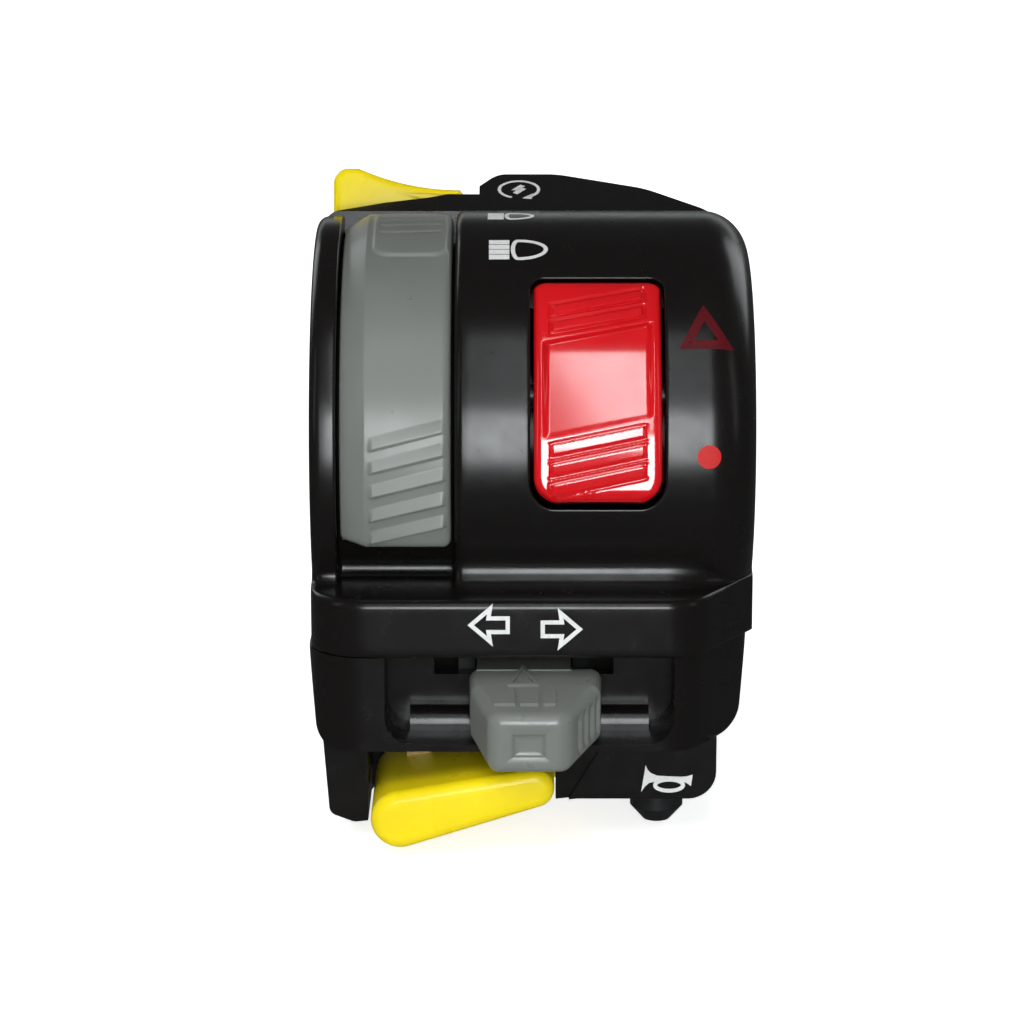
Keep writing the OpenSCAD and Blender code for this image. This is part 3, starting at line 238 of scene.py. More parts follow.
def inset_loops(loops, amount):
    """Loops moved inwards by amount, one value per loop, along each point's normal in the loop's plane."""
    p = plane(loops)
    run = np.roll(p, -1, axis=1) - np.roll(p, 1, axis=1)
    side = np.sign((p.conj() * np.roll(p, -1, axis=1)).imag.sum(1))
    return pairs(p + 1j * run / np.maximum(np.abs(run), 1e-12) * (side * amount)[:, None])


def quarter(d, r):
    """How far a quarter-round of radius r has fallen at d past its start: r - sqrt(r^2 - d^2)."""
    d = np.clip(d, 0.0, r)
    return r - np.sqrt(r * r - d * d)


def end_round(s, s0, s1, r):
    """How far a quarter-round of radius r at each end takes a section in."""
    return quarter(r - np.minimum(s - s0, s1 - s), r)


def end_steps(s0, s1, r, step, arc_n=6):
    """Places along a loft: close together on the rounded ends, step apart between them."""
    a = r * (1.0 - np.cos(np.linspace(0.0, np.pi / 2, arc_n + 1)))
    n = max(int(round((s1 - s0 - 2 * r) / step)), 1)
    return np.unique(np.concatenate([s0 + a, np.linspace(s0 + r, s1 - r, n + 1), s1 - a]))


def smooth_step(x, a, b):
    """0 before a, 1 after b, and a cubic between them."""
    t = np.clip((x - a) / (b - a), 0.0, 1.0)
    return t * t * (3.0 - 2.0 * t)


def ridge(d, width, soft):
    """Height of a rounded rib across its width: 1 in the middle, falling to 0 over soft at both edges."""
    return smooth_step(width / 2 - np.abs(d), -soft, soft)


def round_points(n):
    """Unit directions evenly round a circle."""
    return pairs(np.exp(1j * np.linspace(0.0, 2 * np.pi, n, endpoint=False)))


def rounded_box(span_u, span_v, r, count):
    """A rectangle between two spans with corners of radius r, repeated count times."""
    (u0, u1), (v0, v1) = span_u, span_v
    corners = [[[u0, v0], [u0, v1], [u1, v1], [u1, v0]]]
    return np.repeat(fillet_loops(corners, np.full((1, 4), r), 3), count, axis=0)


def along_y(loops, y):
    """Loops of X and Z set out along Y, one loop at each place."""
    return section(loops[..., 0], np.asarray(y)[:, None] + 1j * loops[..., 1])


def capped(grid):
    """A loft's rows with a middle point at both ends, so that its caps are closed fans."""
    first = np.repeat(grid[:1].mean(axis=1, keepdims=True), grid.shape[1], axis=1)
    last = np.repeat(grid[-1:].mean(axis=1, keepdims=True), grid.shape[1], axis=1)
    return np.concatenate([first, grid, last], axis=0)


# Meshes

def mesh_piece(name, grids, material, sharp=SMOOTH_TO, sheets=()):
    """One mesh from grids of points in millimetres, each (rows, points, 3).

    Quads join neighbours: grids are closed across their points, and sheets, pairs of a grid and a mask of the
    quads to keep, are open. Doubles at poles and seams are merged, and normals turned outwards.
    """
    verts, quads, base = [], [], 0
    for grid, keep, closed in [(g, None, True) for g in grids] + [(g, k, False) for g, k in sheets]:
        rows, cols = grid.shape[:2]
        index = base + np.arange(rows * cols).reshape(rows, cols)
        if closed:
            index = np.concatenate([index, index[:, :1]], axis=1)
        cells = np.stack([index[:-1, :-1], index[:-1, 1:], index[1:, 1:], index[1:, :-1]], -1)
        quads.append(cells.reshape(-1, 4) if keep is None else cells[keep])
        verts.append(grid.reshape(-1, 3))
        base += rows * cols
    mesh = bpy.data.meshes.new(name)
    mesh.from_pydata(np.concatenate(verts) * MM, (), np.concatenate(quads))
    bm = bmesh.new()
    bm.from_mesh(mesh)
    bmesh.ops.remove_doubles(bm, verts=bm.verts, dist=1e-7)
    bmesh.ops.dissolve_degenerate(bm, edges=bm.edges, dist=1e-8)
    bmesh.ops.recalc_face_normals(bm, faces=bm.faces)
    bm.to_mesh(mesh)
    bm.free()
    return place_mesh(name, mesh, material, sharp)


def place_mesh(name, mesh, material, sharp):
    """An object at the origin for a mesh, shaded smooth except over edges sharper than sharp degrees."""
    mesh.shade_smooth()
    mesh.set_sharp_from_angle(angle=math.radians(sharp))
    mesh.materials.clear()
    mesh.materials.append(material)
    piece = bpy.data.objects.new(name, mesh)
    bpy.context.scene.collection.objects.link(piece)
    return piece


def weigh_line(mesh, y, z, near=2e-5):
    """Full bevel weight on the edges whose ends both lie near a line along X, at y and z in millimetres."""
    points = np.empty(len(mesh.vertices) * 3, dtype=np.float32)
    mesh.vertices.foreach_get("co", points)
    ends = np.empty(len(mesh.edges) * 2, dtype=np.int32)
    mesh.edges.foreach_get("vertices", ends)
    on_line = np.hypot(points[1::3] - y * MM, points[2::3] - z * MM) < near
    layer = mesh.attributes.new("bevel_weight_edge", "FLOAT", "EDGE")
    layer.data.foreach_set("value", on_line[ends].reshape(-1, 2).all(axis=1).astype(np.float32))


def bevel(piece, name, **settings):
    """A bevel modifier with its settings."""
    modifier = piece.modifiers.new(name, "BEVEL")
    for key, value in settings.items():
        setattr(modifier, key, value)


def moulded_copy(name, node, material, width, line=None):
    """A merged copy of a CAD node with rounded edges, rounder on a line along X: y, z and radius in mm."""
    mesh = frame["nodes"][node].data.copy()
    mesh.name = name
    bm = bmesh.new()
    bm.from_mesh(mesh)
    bmesh.ops.remove_doubles(bm, verts=bm.verts, dist=2e-6)
    bmesh.ops.dissolve_limit(bm, angle_limit=math.radians(0.6), verts=bm.verts, edges=bm.edges)
    bm.to_mesh(mesh)
    bm.free()
    if "custom_normal" in mesh.attributes:
        mesh.attributes.remove(mesh.attributes["custom_normal"])
    piece = place_mesh(name, mesh, material, 25.0)
    if line:
        weigh_line(mesh, *line[:2])
        bevel(piece, "soft line", width=line[2] * MM, segments=6, limit_method="WEIGHT")
    bevel(piece, "edge rounding", width=width, segments=3, limit_method="ANGLE",
          angle_limit=math.radians(32.0), harden_normals=True, miter_outer="MITER_ARC")
    return piece


def stand_in(piece, body, slot, *nodes):
    """A piece that rides on a body and hides the CAD nodes it stands for; its slot argument is not used."""
    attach(piece, body)
    if nodes:
        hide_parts(*nodes)


def shaped(name, grids, body, slot, *nodes, sharp=SMOOTH_TO, sheets=()):
    """A piece from grids and sheets in its slot's finish, standing in for CAD nodes on a body."""
    stand_in(mesh_piece(name, grids, finish(slot), sharp, sheets), body, slot, *nodes)


# Materials

def shader(name):
    """A new node material with its Principled shader."""
    material = bpy.data.materials.new(name)
    material.use_nodes = True
    return material, material.node_tree, material.node_tree.nodes["Principled BSDF"]


def set_inputs(node, values):
    """Sets a node's inputs by their names."""
    for key, value in values.items():
        node.inputs[key].default_value = value


def noise(tree, scale, detail):
    """Noise on Object coordinates, its scale in waves a metre."""
    coords = tree.nodes.new("ShaderNodeTexCoord")
    tex = tree.nodes.new("ShaderNodeTexNoise")
    set_inputs(tex, {"Scale": scale, "Detail": detail, "Roughness": 0.55})
    tree.links.new(coords.outputs["Object"], tex.inputs["Vector"])
    return tex.outputs["Fac"]


def ramp(tree, fac, low, high, a=0.3, b=0.7):
    """A value spread from low to high over the noise's middle."""
    node = tree.nodes.new("ShaderNodeMapRange")
    set_inputs(node, {"From Min": a, "From Max": b, "To Min": low, "To Max": high})
    tree.links.new(fac, node.inputs["Value"])
    return node.outputs["Result"]


def surface(name, colours, cover, roughs, gloss):
    """A shader whose colour and roughness each run between two, by noises given as scale and detail."""
    material, tree, bsdf = shader(name)
    mix = tree.nodes.new("ShaderNodeMix")
    mix.data_type = "RGBA"
    set_inputs(mix, {"A": (*colours[0], 1.0), "B": (*colours[1], 1.0)})
    tree.links.new(ramp(tree, noise(tree, *cover[:2]), 0.0, 1.0, *cover[2:]), mix.inputs["Factor"])
    tree.links.new(mix.outputs["Result"], bsdf.inputs["Base Color"])
    tree.links.new(ramp(tree, noise(tree, *gloss), *roughs), bsdf.inputs["Roughness"])
    return material, tree, bsdf


def moulded(name, colour, rough, grain, spread=0.12, coat=0.0, wear=0.06, shine=0.5):
    """Moulded plastic: a fine spark-eroded grain, uneven gloss and a faint drift of colour."""
    colours = np.array(colour) * (1.0 - wear), np.minimum(np.array(colour) * (1.0 + wear), 1.0)
    roughs = rough * (1.0 - spread), rough * (1.0 + spread)
    material, tree, bsdf = surface(name, colours, (DRIFT_WAVES, 4.0), roughs, (GLOSS_WAVES, 5.0))
    relief = tree.nodes.new("ShaderNodeBump")
    set_inputs(relief, {"Strength": grain, "Distance": GRAIN_DEPTH})
    tree.links.new(noise(tree, GRAIN_WAVES, 2.0), relief.inputs["Height"])
    tree.links.new(relief.outputs["Normal"], bsdf.inputs["Normal"])
    set_inputs(bsdf, {"Specular IOR Level": shine, "Coat Weight": coat, "Coat Roughness": 0.08})
    return material


def metal(name, colour, rough, streak):
    """Drawn or stamped metal: streaks in its gloss and a faint tarnish."""
    colours, roughs = (np.array(colour) * 0.86, colour), (rough * 0.75, rough * 1.3)
    material, _, bsdf = surface(name, colours, (TARNISH_WAVES, 6.0), roughs, (streak, 4.0))
    set_inputs(bsdf, {"Metallic": 1.0})
    return material


def printed(name, colour, rough=0.5):
    """Pad-printed ink: slightly uneven in cover and gloss."""
    colours, roughs = (np.array(colour) * 0.84, colour), (rough * 0.9, rough * 1.1)
    material, _, bsdf = surface(name, colours, (COVER_WAVES, 4.0, 0.35, 0.75), roughs, (INK_WAVES, 3.0))
    set_inputs(bsdf, {"Specular IOR Level": 0.25})
    return material


@cache
def finish(slot):
    """The finish of a material slot, made once."""
    c = bpy.context.scene.cluster_colours
    makers = {
        "housing_black": lambda: moulded("housing_plastic", c.housing, 0.25, 0.10, shine=0.40),
        "control_grey": lambda: moulded("grey_plastic", c.grey, 0.31, 0.08),
        "control_red": lambda: moulded("red_plastic", c.red, 0.15, 0.03, spread=0.2, coat=1.0),
        "control_yellow": lambda: moulded("yellow_plastic", c.yellow, 0.30, 0.05, shine=0.35),
        # Painted shade: the contact brass is darkened well below brass's own colour, so the contacts in the
        # paddle's pocket read as lying in shadow
        "contact_brass": lambda: metal("contact_brass", (0.34, 0.24, 0.10), 0.42, 900.0),
        "pin_steel": lambda: metal("pin_steel", (0.56, 0.57, 0.58), 0.22, 1400.0),
        "spring_steel": lambda: metal("spring_steel", (0.50, 0.50, 0.52), 0.3, 2400.0),
        "carriage_black": lambda: moulded("carriage_plastic", (0.008, 0.008, 0.008), 0.5, 0.12, shine=0.3),
        # Painted shade: the board laminate is made near black so that it reads as shade where it shows
        # through the stem slot
        "board": lambda: moulded("board_laminate", (0.012, 0.010, 0.008), 0.55, 0.2, wear=0.2, shine=0.3),
        "screw_steel": lambda: metal("screw_steel", (0.52, 0.52, 0.53), 0.3, 1100.0),
        "screw_black": lambda: moulded("screw_black_oxide", (0.014, 0.014, 0.015), 0.36, 0.2),
        "grommet_rubber": lambda: moulded("grommet_rubber", (0.016, 0.016, 0.016), 0.6, 0.3),
        "white_print": lambda: printed("white_print", c.white_print),
        "red_print": lambda: printed("red_print", c.red_print),
        "dark_red_print": lambda: printed("dark_red_print", c.dark_red_print, 0.45),
    }
    return makers[slot]()


# Stage

def aimed(context, name, data, way, place=(0.0, 0.0, 0.0)):
    """A lamp or camera at a place, its -Z along a direction and its Y up."""
    thing = bpy.data.objects.new(name, data)
    thing.location = place
    thing.rotation_euler = Vector(way).to_track_quat("-Z", "Y").to_euler()
    context.scene.collection.objects.link(thing)
    return thing


class CLUSTER_OT_stage(bpy.types.Operator):
    """White floor, soft lamps and the camera"""

    bl_idname = "cluster.stage"
    bl_label = "Stage"

    def execute(self, context):
        u = np.linspace(-FLOOR_HALF, FLOOR_HALF, FLOOR_POINTS)
        level = np.full((FLOOR_POINTS, FLOOR_POINTS), CAD_BOX[0][2] - FLOOR_DROP)
        grid = np.stack([*np.meshgrid(u, u, indexing="ij"), level], -1) / MM
        floor = mesh_piece("floor", [], self.floor_material(context), 180.0, [(grid, None)])
        floor.visible_glossy = False
        self.sky(context)
        self.lamps(context)
        self.camera(context)
        return {"FINISHED"}

    def floor_material(self, context):
        """White paper that keeps the shadow and adds its own white to what the camera sees."""
        material, tree, bsdf = shader("floor_paper")
        set_inputs(bsdf, {"Base Color": (*context.scene.cluster_colours.backdrop, 1.0), "Roughness": 0.9,
                          "Specular IOR Level": 0.0, "Emission Color": (1.0, 1.0, 1.0, 1.0)})
        self.shown_as(tree, bsdf.inputs["Emission Strength"], 0.0, FLOOR_WHITE)
        return material

    def sky(self, context):
        """A dim even sky that the camera sees as white."""
        world = bpy.data.worlds.new("studio")
        world.use_nodes = True
        tree = world.node_tree
        background = tree.nodes["Background"]
        set_inputs(background, {"Color": (1.0, 1.0, 1.0, 1.0)})
        self.shown_as(tree, background.inputs["Strength"], SKY_LEVEL, 1.0)
        context.scene.world = world

    def shown_as(self, tree, strength, dim, white):
        """Sets a strength to white for the camera's own rays and dim for all others."""
        path = tree.nodes.new("ShaderNodeLightPath")
        tree.links.new(ramp(tree, path.outputs["Is Camera Ray"], dim, white, 0.0, 1.0), strength)

    def lamps(self, context):
        """A soft sun and a fill that stay out of the gloss, strips for highlights, dim rim and side boxes."""
        sun = bpy.data.lights.new("soft_sun", "SUN")
        sun.energy, sun.angle = SUN_POWER, math.radians(SUN_SPREAD)
        aimed(context, "soft_sun", sun, SUN_WAY).visible_glossy = False
        for name, place, wide, high, watts, shows in LAMP_BOXES:
            lamp = bpy.data.lights.new(name, "AREA")
            lamp.shape = "RECTANGLE"
            lamp.size, lamp.size_y, lamp.energy, lamp.color = wide, high, watts, LAMP_TINT
            box = aimed(context, name, lamp, np.subtract(LAMP_AIM, place), place)
            box.visible_camera, box.visible_glossy = False, shows

    def camera(self, context):
        """A long lens at the photograph's height, looking at the handlebar's axis."""
        tilt = context.scene.cluster_sizes.clamp_tilt
        away = np.array([0.0, -math.cos(tilt), math.sin(tilt)])
        up = np.array([0.0, math.sin(tilt), math.cos(tilt)])
        aim = np.array([VIEW_X, 0.0, 0.0]) * MM + up * (VIEW_UP * MM)
        camera = bpy.data.cameras.new("camera")
        camera.sensor_width = VIEW_SENSOR
        camera.lens = VIEW_SENSOR * VIEW_FOCAL / VIEW_SIDE
        camera.clip_start = 0.01
        context.scene.camera = aimed(context, "camera", camera, -away, aim + away * VIEW_AWAY)


# Pieces

def drum_radius(x):
    """Radius of the drum at a place along it: constant, then a quarter-round at the inboard end."""
    return DRUM_R - quarter(x - (X_RIGHT - DRUM_ROUND), DRUM_ROUND)


def chin_front(x):
    """Front of the chin in plan: a round at the outboard end, a straight run, then a blended, swept cut."""
    turn = math.atan2(CHIN_CUT_Y, CHIN_CUT_X)
    past = x - (X_RIGHT - CHIN_CUT_X - CHIN_BLEND_R * math.tan(turn / 2))
    blend = CHIN_BLEND_R * math.sin(turn)
    y = CHIN_Y + quarter(X_LEFT + CHIN_LEFT_R - x, CHIN_LEFT_R)
    return y + quarter(np.minimum(past, blend), CHIN_BLEND_R) + np.maximum(past - blend, 0.0) * math.tan(turn)


def window_outline(x, z, grow):
    """Points carried along rays from the middle on to the kill rocker's window, grown by an amount.

    The window's distance |max(q, 0)| + min(max(q), 0) - r, with q = |p| - half + r, is halved to its zero.
    """
    r = np.where(z < 0.0, WINDOW_LOW_R, WINDOW_TOP_R)
    near, far = np.zeros_like(x), np.ones_like(x)
    for _ in range(30):
        t = 0.5 * (near + far)
        qx, qz = np.abs(x * t) - WINDOW_W + r, np.abs(z * t) - WINDOW_L + r
        gap = np.hypot(np.maximum(qx, 0.0), np.maximum(qz, 0.0)) + np.minimum(np.maximum(qx, qz), 0.0) - r
        near, far = np.where(gap < grow, t, near), np.where(gap < grow, far, t)
    return x * near, z * near


def steps(n):
    """Shares of a run in n steps, without its start, as a column."""
    return np.linspace(0.0, 1.0, n + 1)[1:, None]


class CLUSTER_OT_front_shell(bpy.types.Operator):
    """Front shell: flange, rocker channel, drum with its window, ledge and chin in one skin"""

    bl_idname = "cluster.front_shell"
    bl_label = "Front shell"

    # Spans along the bar and round it of the cells that the window and the rocker's slot take up
    window_x = (KILL_X - WINDOW_W - 1.5, KILL_X + WINDOW_W + 1.5)
    window_a = (KILL_CENTRE + TILT - 35.0, KILL_CENTRE + TILT + 35.0)
    slot_x = (-16.6, -12.4)
    slot_a = (26.0, 54.0)

    def execute(self, context):
        x, r = self.profile()
        a, a_low = self.angles()
        outer, inner = self.skins(x, r, a, a_low)
        keep = np.ones((len(outer) - 1, len(x) - 1), dtype=bool)
        window = self.hole(keep, a, x, self.window_a, self.window_x)
        slot = self.hole(keep, a, x, self.slot_a, self.slot_x)
        rings = [self.window_rings(outer, inner, x, a, window), np.stack([outer[slot], inner[slot]])]
        sheets = [(outer, keep), (inner, keep)]
        sheets += [(np.stack([outer[i], inner[i]]), None) for i in (0, -1)]
        sheets += [(np.stack([outer[:, j], inner[:, j]]), None) for j in (0, -1)]
        for rail_out, rail_in in self.walls(x, r):
            rings.append(np.concatenate([rail_out, rail_in[:, ::-1]], axis=1))
            sheets += [(np.stack([rail_out[j], rail_in[j]]), None) for j in (0, -1)]
        shaped("front_shell", rings, "housing", "housing_black", "front_housing", sharp=36.0, sheets=sheets)
        return {"FINISHED"}

    def profile(self):
        """Places and radii along the shell: flange, step down, channel, step up, drum and its round end."""
        q = np.linspace(0.0, np.pi / 2, 9)
        s, c = np.sin(q), np.cos(q)
        q_end = np.linspace(0.0, np.pi / 2, 28)[1:]
        lip, root = 0.3, 0.4
        end = X_RIGHT - DRUM_ROUND
        runs = [
            (X_LEFT + FLANGE_ROUND * (1 - c), FLANGE_R - FLANGE_ROUND * (1 - s)),
            (FLANGE_X1 - lip * (1 - s), FLANGE_R - lip * (1 - c)),
            (FLANGE_X1 + root * (1 - c), CHANNEL_R + root * (1 - s)),
            (np.linspace(FLANGE_X1 + root, self.slot_x[0], 13)[1:], CHANNEL_R),
            (np.linspace(*self.slot_x, 5)[1:], CHANNEL_R),
            (np.linspace(self.slot_x[1], DRUM_X0 - root, 6)[1:-1], CHANNEL_R),
            (DRUM_X0 - root * (1 - s), CHANNEL_R + root * (1 - c)),
            (DRUM_X0 + DRUM_EDGE * (1 - c), DRUM_R - DRUM_EDGE * (1 - s)),
            (np.linspace(DRUM_X0 + DRUM_EDGE, self.window_x[0], 8)[1:], DRUM_R),
            (np.linspace(*self.window_x, 56)[1:], DRUM_R),
            (np.linspace(self.window_x[1], end, 10)[1:], DRUM_R),
            (end + DRUM_ROUND * np.sin(q_end), DRUM_R - DRUM_ROUND * (1 - np.cos(q_end))),
        ]
        return (np.concatenate([np.ravel(p) for p, _ in runs]),
                np.concatenate([np.broadcast_to(v, np.shape(p)) for p, v in runs]))

    def angles(self):
        """Fixed angles from the split down past the window, and the angle that the fixed part ends at."""
        stops = [90.0 + TILT, self.window_a[1], self.slot_a[1], self.slot_a[0], self.window_a[0],
                 self.window_a[0] - 2.0]
        runs = [np.linspace(*ends, n)[1:] for *ends, n in zip(stops, stops[1:], (30, 4, 36, 50, 4))]
        return np.concatenate([stops[:1], *runs]), stops[-1]

    def skins(self, x, r, a, a_low):
        """Outer and inner skins as (rows round the section, columns along the bar, 3).

        Each section runs down the drum's arc, through a hollow fillet of radius f whose centre lies at r + f
        from the bar's axis, along the ledge, over its edge, down the chin's front and back under the chin.
        """
        lean = math.tan(math.radians(TILT))
        y_join = -np.sqrt(r * r - CHIN_TOP ** 2)
        y_chin = chin_front(x)
        ledge = np.maximum(y_join - y_chin, 0.02)
        f = np.minimum(np.where(x > DRUM_X0, HOLLOW_DRUM, HOLLOW_CHANNEL), HOLLOW_SHARE * ledge)
        edge = np.minimum(CHIN_ROUND, EDGE_SHARE * ledge)
        foot = CHIN_FOOT
        zf = CHIN_TOP + f
        yf = -np.sqrt((r + f) ** 2 - zf ** 2)
        a_join = np.degrees(np.arctan2(zf, -yf))
        arc = np.radians(np.concatenate([a[:, None] + 0 * x, a_low + (a_join - a_low) * steps(16)]))
        hollow = np.arctan2(-zf, -yf) * (1 - steps(10)) - np.pi / 2 * steps(10)
        over = np.pi / 2 * (1 + steps(12))
        under = np.pi * (1 + steps(6) / 2)
        skin = np.concatenate([
            -r * np.exp(-1j * arc),
            yf + 1j * zf + f * np.exp(1j * hollow),
            yf + (y_chin + edge - yf) * steps(6) + 1j * CHIN_TOP,
            y_chin + edge + 1j * (CHIN_TOP - edge) + edge * np.exp(1j * over),
            y_chin + 1j * (CHIN_TOP - edge + (PART_Z + foot - CHIN_TOP + edge) * steps(8)),
            y_chin + foot + 1j * (PART_Z + foot) + foot * np.exp(1j * under),
            y_chin + foot + (PART_Z * lean - y_chin - foot) * steps(4) + 1j * PART_Z])
        r_in = np.minimum(DRUM_IN_R, r - np.where(r < CHANNEL_R + 0.5, SHELL_T, 1.5))
        floor, floor_n = PART_Z + SHELL_T, 10
        bend = arc[-1] + (np.arcsin(floor / r_in) - arc[-1]) * steps(len(skin) - len(arc) - floor_n)
        wall = -r_in * np.exp(-1j * np.concatenate([arc, bend]))
        y_end = wall[-1].real
        wall = np.concatenate([wall, y_end + (floor * lean - y_end) * steps(floor_n) + 1j * floor])
        return section(x, skin), section(x, wall)

    def hole(self, keep, a, x, span_a, span_x):
        """Cuts a rectangle of cells and returns the row and column numbers round its edge."""
        i0, i1 = (np.argmin(np.abs(a - end)) for end in span_a[::-1])
        j0, j1 = (np.argmin(np.abs(x - end)) for end in span_x)
        keep[i0:i1, j0:j1] = False
        i, j = np.arange(i0, i1), np.arange(j0, j1)
        rows = np.concatenate([np.full_like(j, i0), i, np.full_like(j, i1), i[::-1] + 1])
        cols = np.concatenate([j, np.full_like(i, j1), j[::-1] + 1, np.full_like(i, j0)])
        return rows, cols

    def window_rings(self, outer, inner, x, a, edge):
        """Rings from the drum's cut to the rounded window, over its rim, through the wall and out inside."""
        lean = np.radians(a[edge[0]] - KILL_CENTRE - TILT)
        px, pz = x[edge[1]] - KILL_X, DRUM_R * np.sin(lean)

        def ring(qx, qz, radius, drop):
            depth = np.sqrt(radius ** 2 - qz * qz) - drop
            return from_clamp(turn_x(section(qx + KILL_X, -depth + 1j * qz), -KILL_CENTRE))

        rings = [outer[edge]]
        gx, gz = window_outline(px, pz, WINDOW_RIM)
        for t in (0.4, 0.75, 1.0):
            rings.append(ring(px + (gx - px) * t, pz + (gz - pz) * t, DRUM_R, 0.0))
        for turn in np.radians([18.0, 36.0, 54.0, 72.0, 90.0]):
            gx, gz = window_outline(px, pz, WINDOW_RIM * (1 - math.sin(turn)))
            rings.append(ring(gx, gz, DRUM_R, WINDOW_RIM * (1 - math.cos(turn))))
        return np.stack([*rings, ring(gx, gz, DRUM_IN_R, 0.0), inner[edge]])

    def walls(self, x, r):
        """Rails of the liner round the bar and of the two end walls, each (columns, points, 3)."""
        arc = np.radians(np.linspace(90.0 + TILT, TILT - 90.0, 61))
        inset, skin_gap, overlap = 0.05, 0.6, 0.3

        def rail(at, radius):
            return section(at[:, None], -radius * np.exp(-1j * arc))

        cap = END_WALL_LOW / np.maximum(-np.sin(arc), 1e-3)
        ends = np.array([X_LEFT, X_RIGHT])
        one = np.ones((2, len(arc)))
        yield rail(ends, LINER_R * one), rail(ends, BAR_R * one)
        for span in (x <= X_LEFT + SHELL_T, x >= X_RIGHT - SHELL_T):
            at = np.clip(x[span], X_LEFT + inset, X_RIGHT - inset)
            most = (r[span] - skin_gap)[:, None] + 0 * arc
            yield rail(at, np.minimum(most, cap)), rail(at, 0 * most + LINER_R - overlap)


class CLUSTER_OT_housings(bpy.types.Operator):
    """Rear and lower moulded housings with rounded edges"""

    bl_idname = "cluster.housings"
    bl_label = "Rear and lower housings"

    def execute(self, context):
        edge = context.scene.cluster_sizes.edge_r
        for node, line in (("rear_housing", None), ("lower_housing", (SHELF_Y, SHELF_Z, SILL_ROUND))):
            piece = moulded_copy(node.replace("housing", "shell"), node, finish("housing_black"), edge, line)
            stand_in(piece, "housing", "housing_black", node)
        return {"FINISHED"}


class CLUSTER_OT_light_rocker(bpy.types.Operator):
    """Grey light rocker with its bevelled edge, stepped grip ribs and raised top pad"""

    bl_idname = "cluster.light_rocker"
    bl_label = "Light rocker"

    def execute(self, context):
        rib_h, pad_h, line_h = context.scene.cluster_sizes.rib_h / MM, 0.3, 0.16
        round_r, step = 1.0, 0.1
        corners = [[[LIGHT_X0, LIGHT_IN_R], [LIGHT_X0, LIGHT_R - LIGHT_BEVEL_R],
                    [LIGHT_X0 + LIGHT_BEVEL_X, LIGHT_R], [LIGHT_X1, LIGHT_R], [LIGHT_X1, LIGHT_IN_R]]]
        radii = np.array([[0.2, 0.5, 0.5, 0.9, 0.2]])
        s0, s1 = np.radians([LIGHT_LOW, LIGHT_TOP]) * LIGHT_R
        s = end_steps(s0, s1, round_r, step)
        loops = np.repeat(fillet_loops(corners, radii, 7, (2, 4, 40, 3, 10)), len(s), axis=0)
        loops = inset_loops(loops, end_round(s, s0, s1, round_r))
        x, r = loops[..., 0], loops[..., 1]
        s = s[:, None] + np.zeros_like(x)
        face = smooth_step(r, LIGHT_R - 0.5, LIGHT_R - 0.05)
        pad, lines = self.pad(x, s)
        r = r + face * (rib_h * self.ribs(x, s) + pad_h * pad - line_h * lines)
        cap = section(x, -r * np.exp(-1j * s / LIGHT_R))
        grids = [from_clamp(capped(cap)), from_clamp(capped(self.stem()))]
        shaped("light_rocker_cap", grids, "light", "control_grey", "light_rocker", sharp=50.0)
        return {"FINISHED"}

    def ribs(self, x, s):
        """Share of the rib height: slanted wedges that rise downwards to a step, higher rib by rib."""
        rise, fall, slant = 1.3, 0.35, 0.25
        left, right = LIGHT_X0 + 3.1, LIGHT_X1 - 0.5
        across = smooth_step(x, left, left + 0.2) * smooth_step(-x, -right, -right + 0.3)
        lean = s - slant * (x - (LIGHT_X0 + LIGHT_X1) / 2)

        def wedge(below):
            return np.clip(below / rise, 0.0, 1.0) * (1.0 - smooth_step(below, rise, rise + fall))

        starts = np.radians([-2.0, -7.9, -14.2, -20.5, -26.6]) * LIGHT_R
        return across * np.max([(0.4 + 0.3 * i) * wedge(at - lean) for i, at in enumerate(starts)], axis=0)

    def pad(self, x, s):
        """Shares of the raised pad's height, a rounded rectangle near the top, and of the lines across it."""
        low, top = np.radians([49.0, 75.0]) * LIGHT_R
        corner_r = 1.6
        dx = np.maximum(LIGHT_X0 + 4.9 - x, x - (LIGHT_X1 - 2.1))
        ds = np.maximum(low + corner_r - s, s - top + corner_r)
        inside = corner_r - np.hypot(np.maximum(dx, 0.0), np.maximum(ds, 0.0))
        below = 0.06 * (x - LIGHT_X0 - 6.0) - s
        starts = np.radians([68.5, 64.0, 59.5]) * LIGHT_R
        lines = np.max([ridge(start + below, 0.4, 0.2) for start in starts], axis=0)
        return smooth_step(inside, -0.2, 0.25), lines * smooth_step(inside, 0.5, 0.9)

    def stem(self):
        """Finger behind the rocker: a box section carried round the bar from 22 to 38 degrees."""
        half, low, top = 1.7, 17.35, 21.5
        theta = np.radians(np.linspace(22.0, 38.0, 9))
        mid = (LIGHT_X0 + LIGHT_X1) / 2
        loops = rounded_box((mid - half, mid + half), (low, top), 0.2, len(theta))
        return section(loops[..., 0], -loops[..., 1] * np.exp(-1j * theta[:, None]))


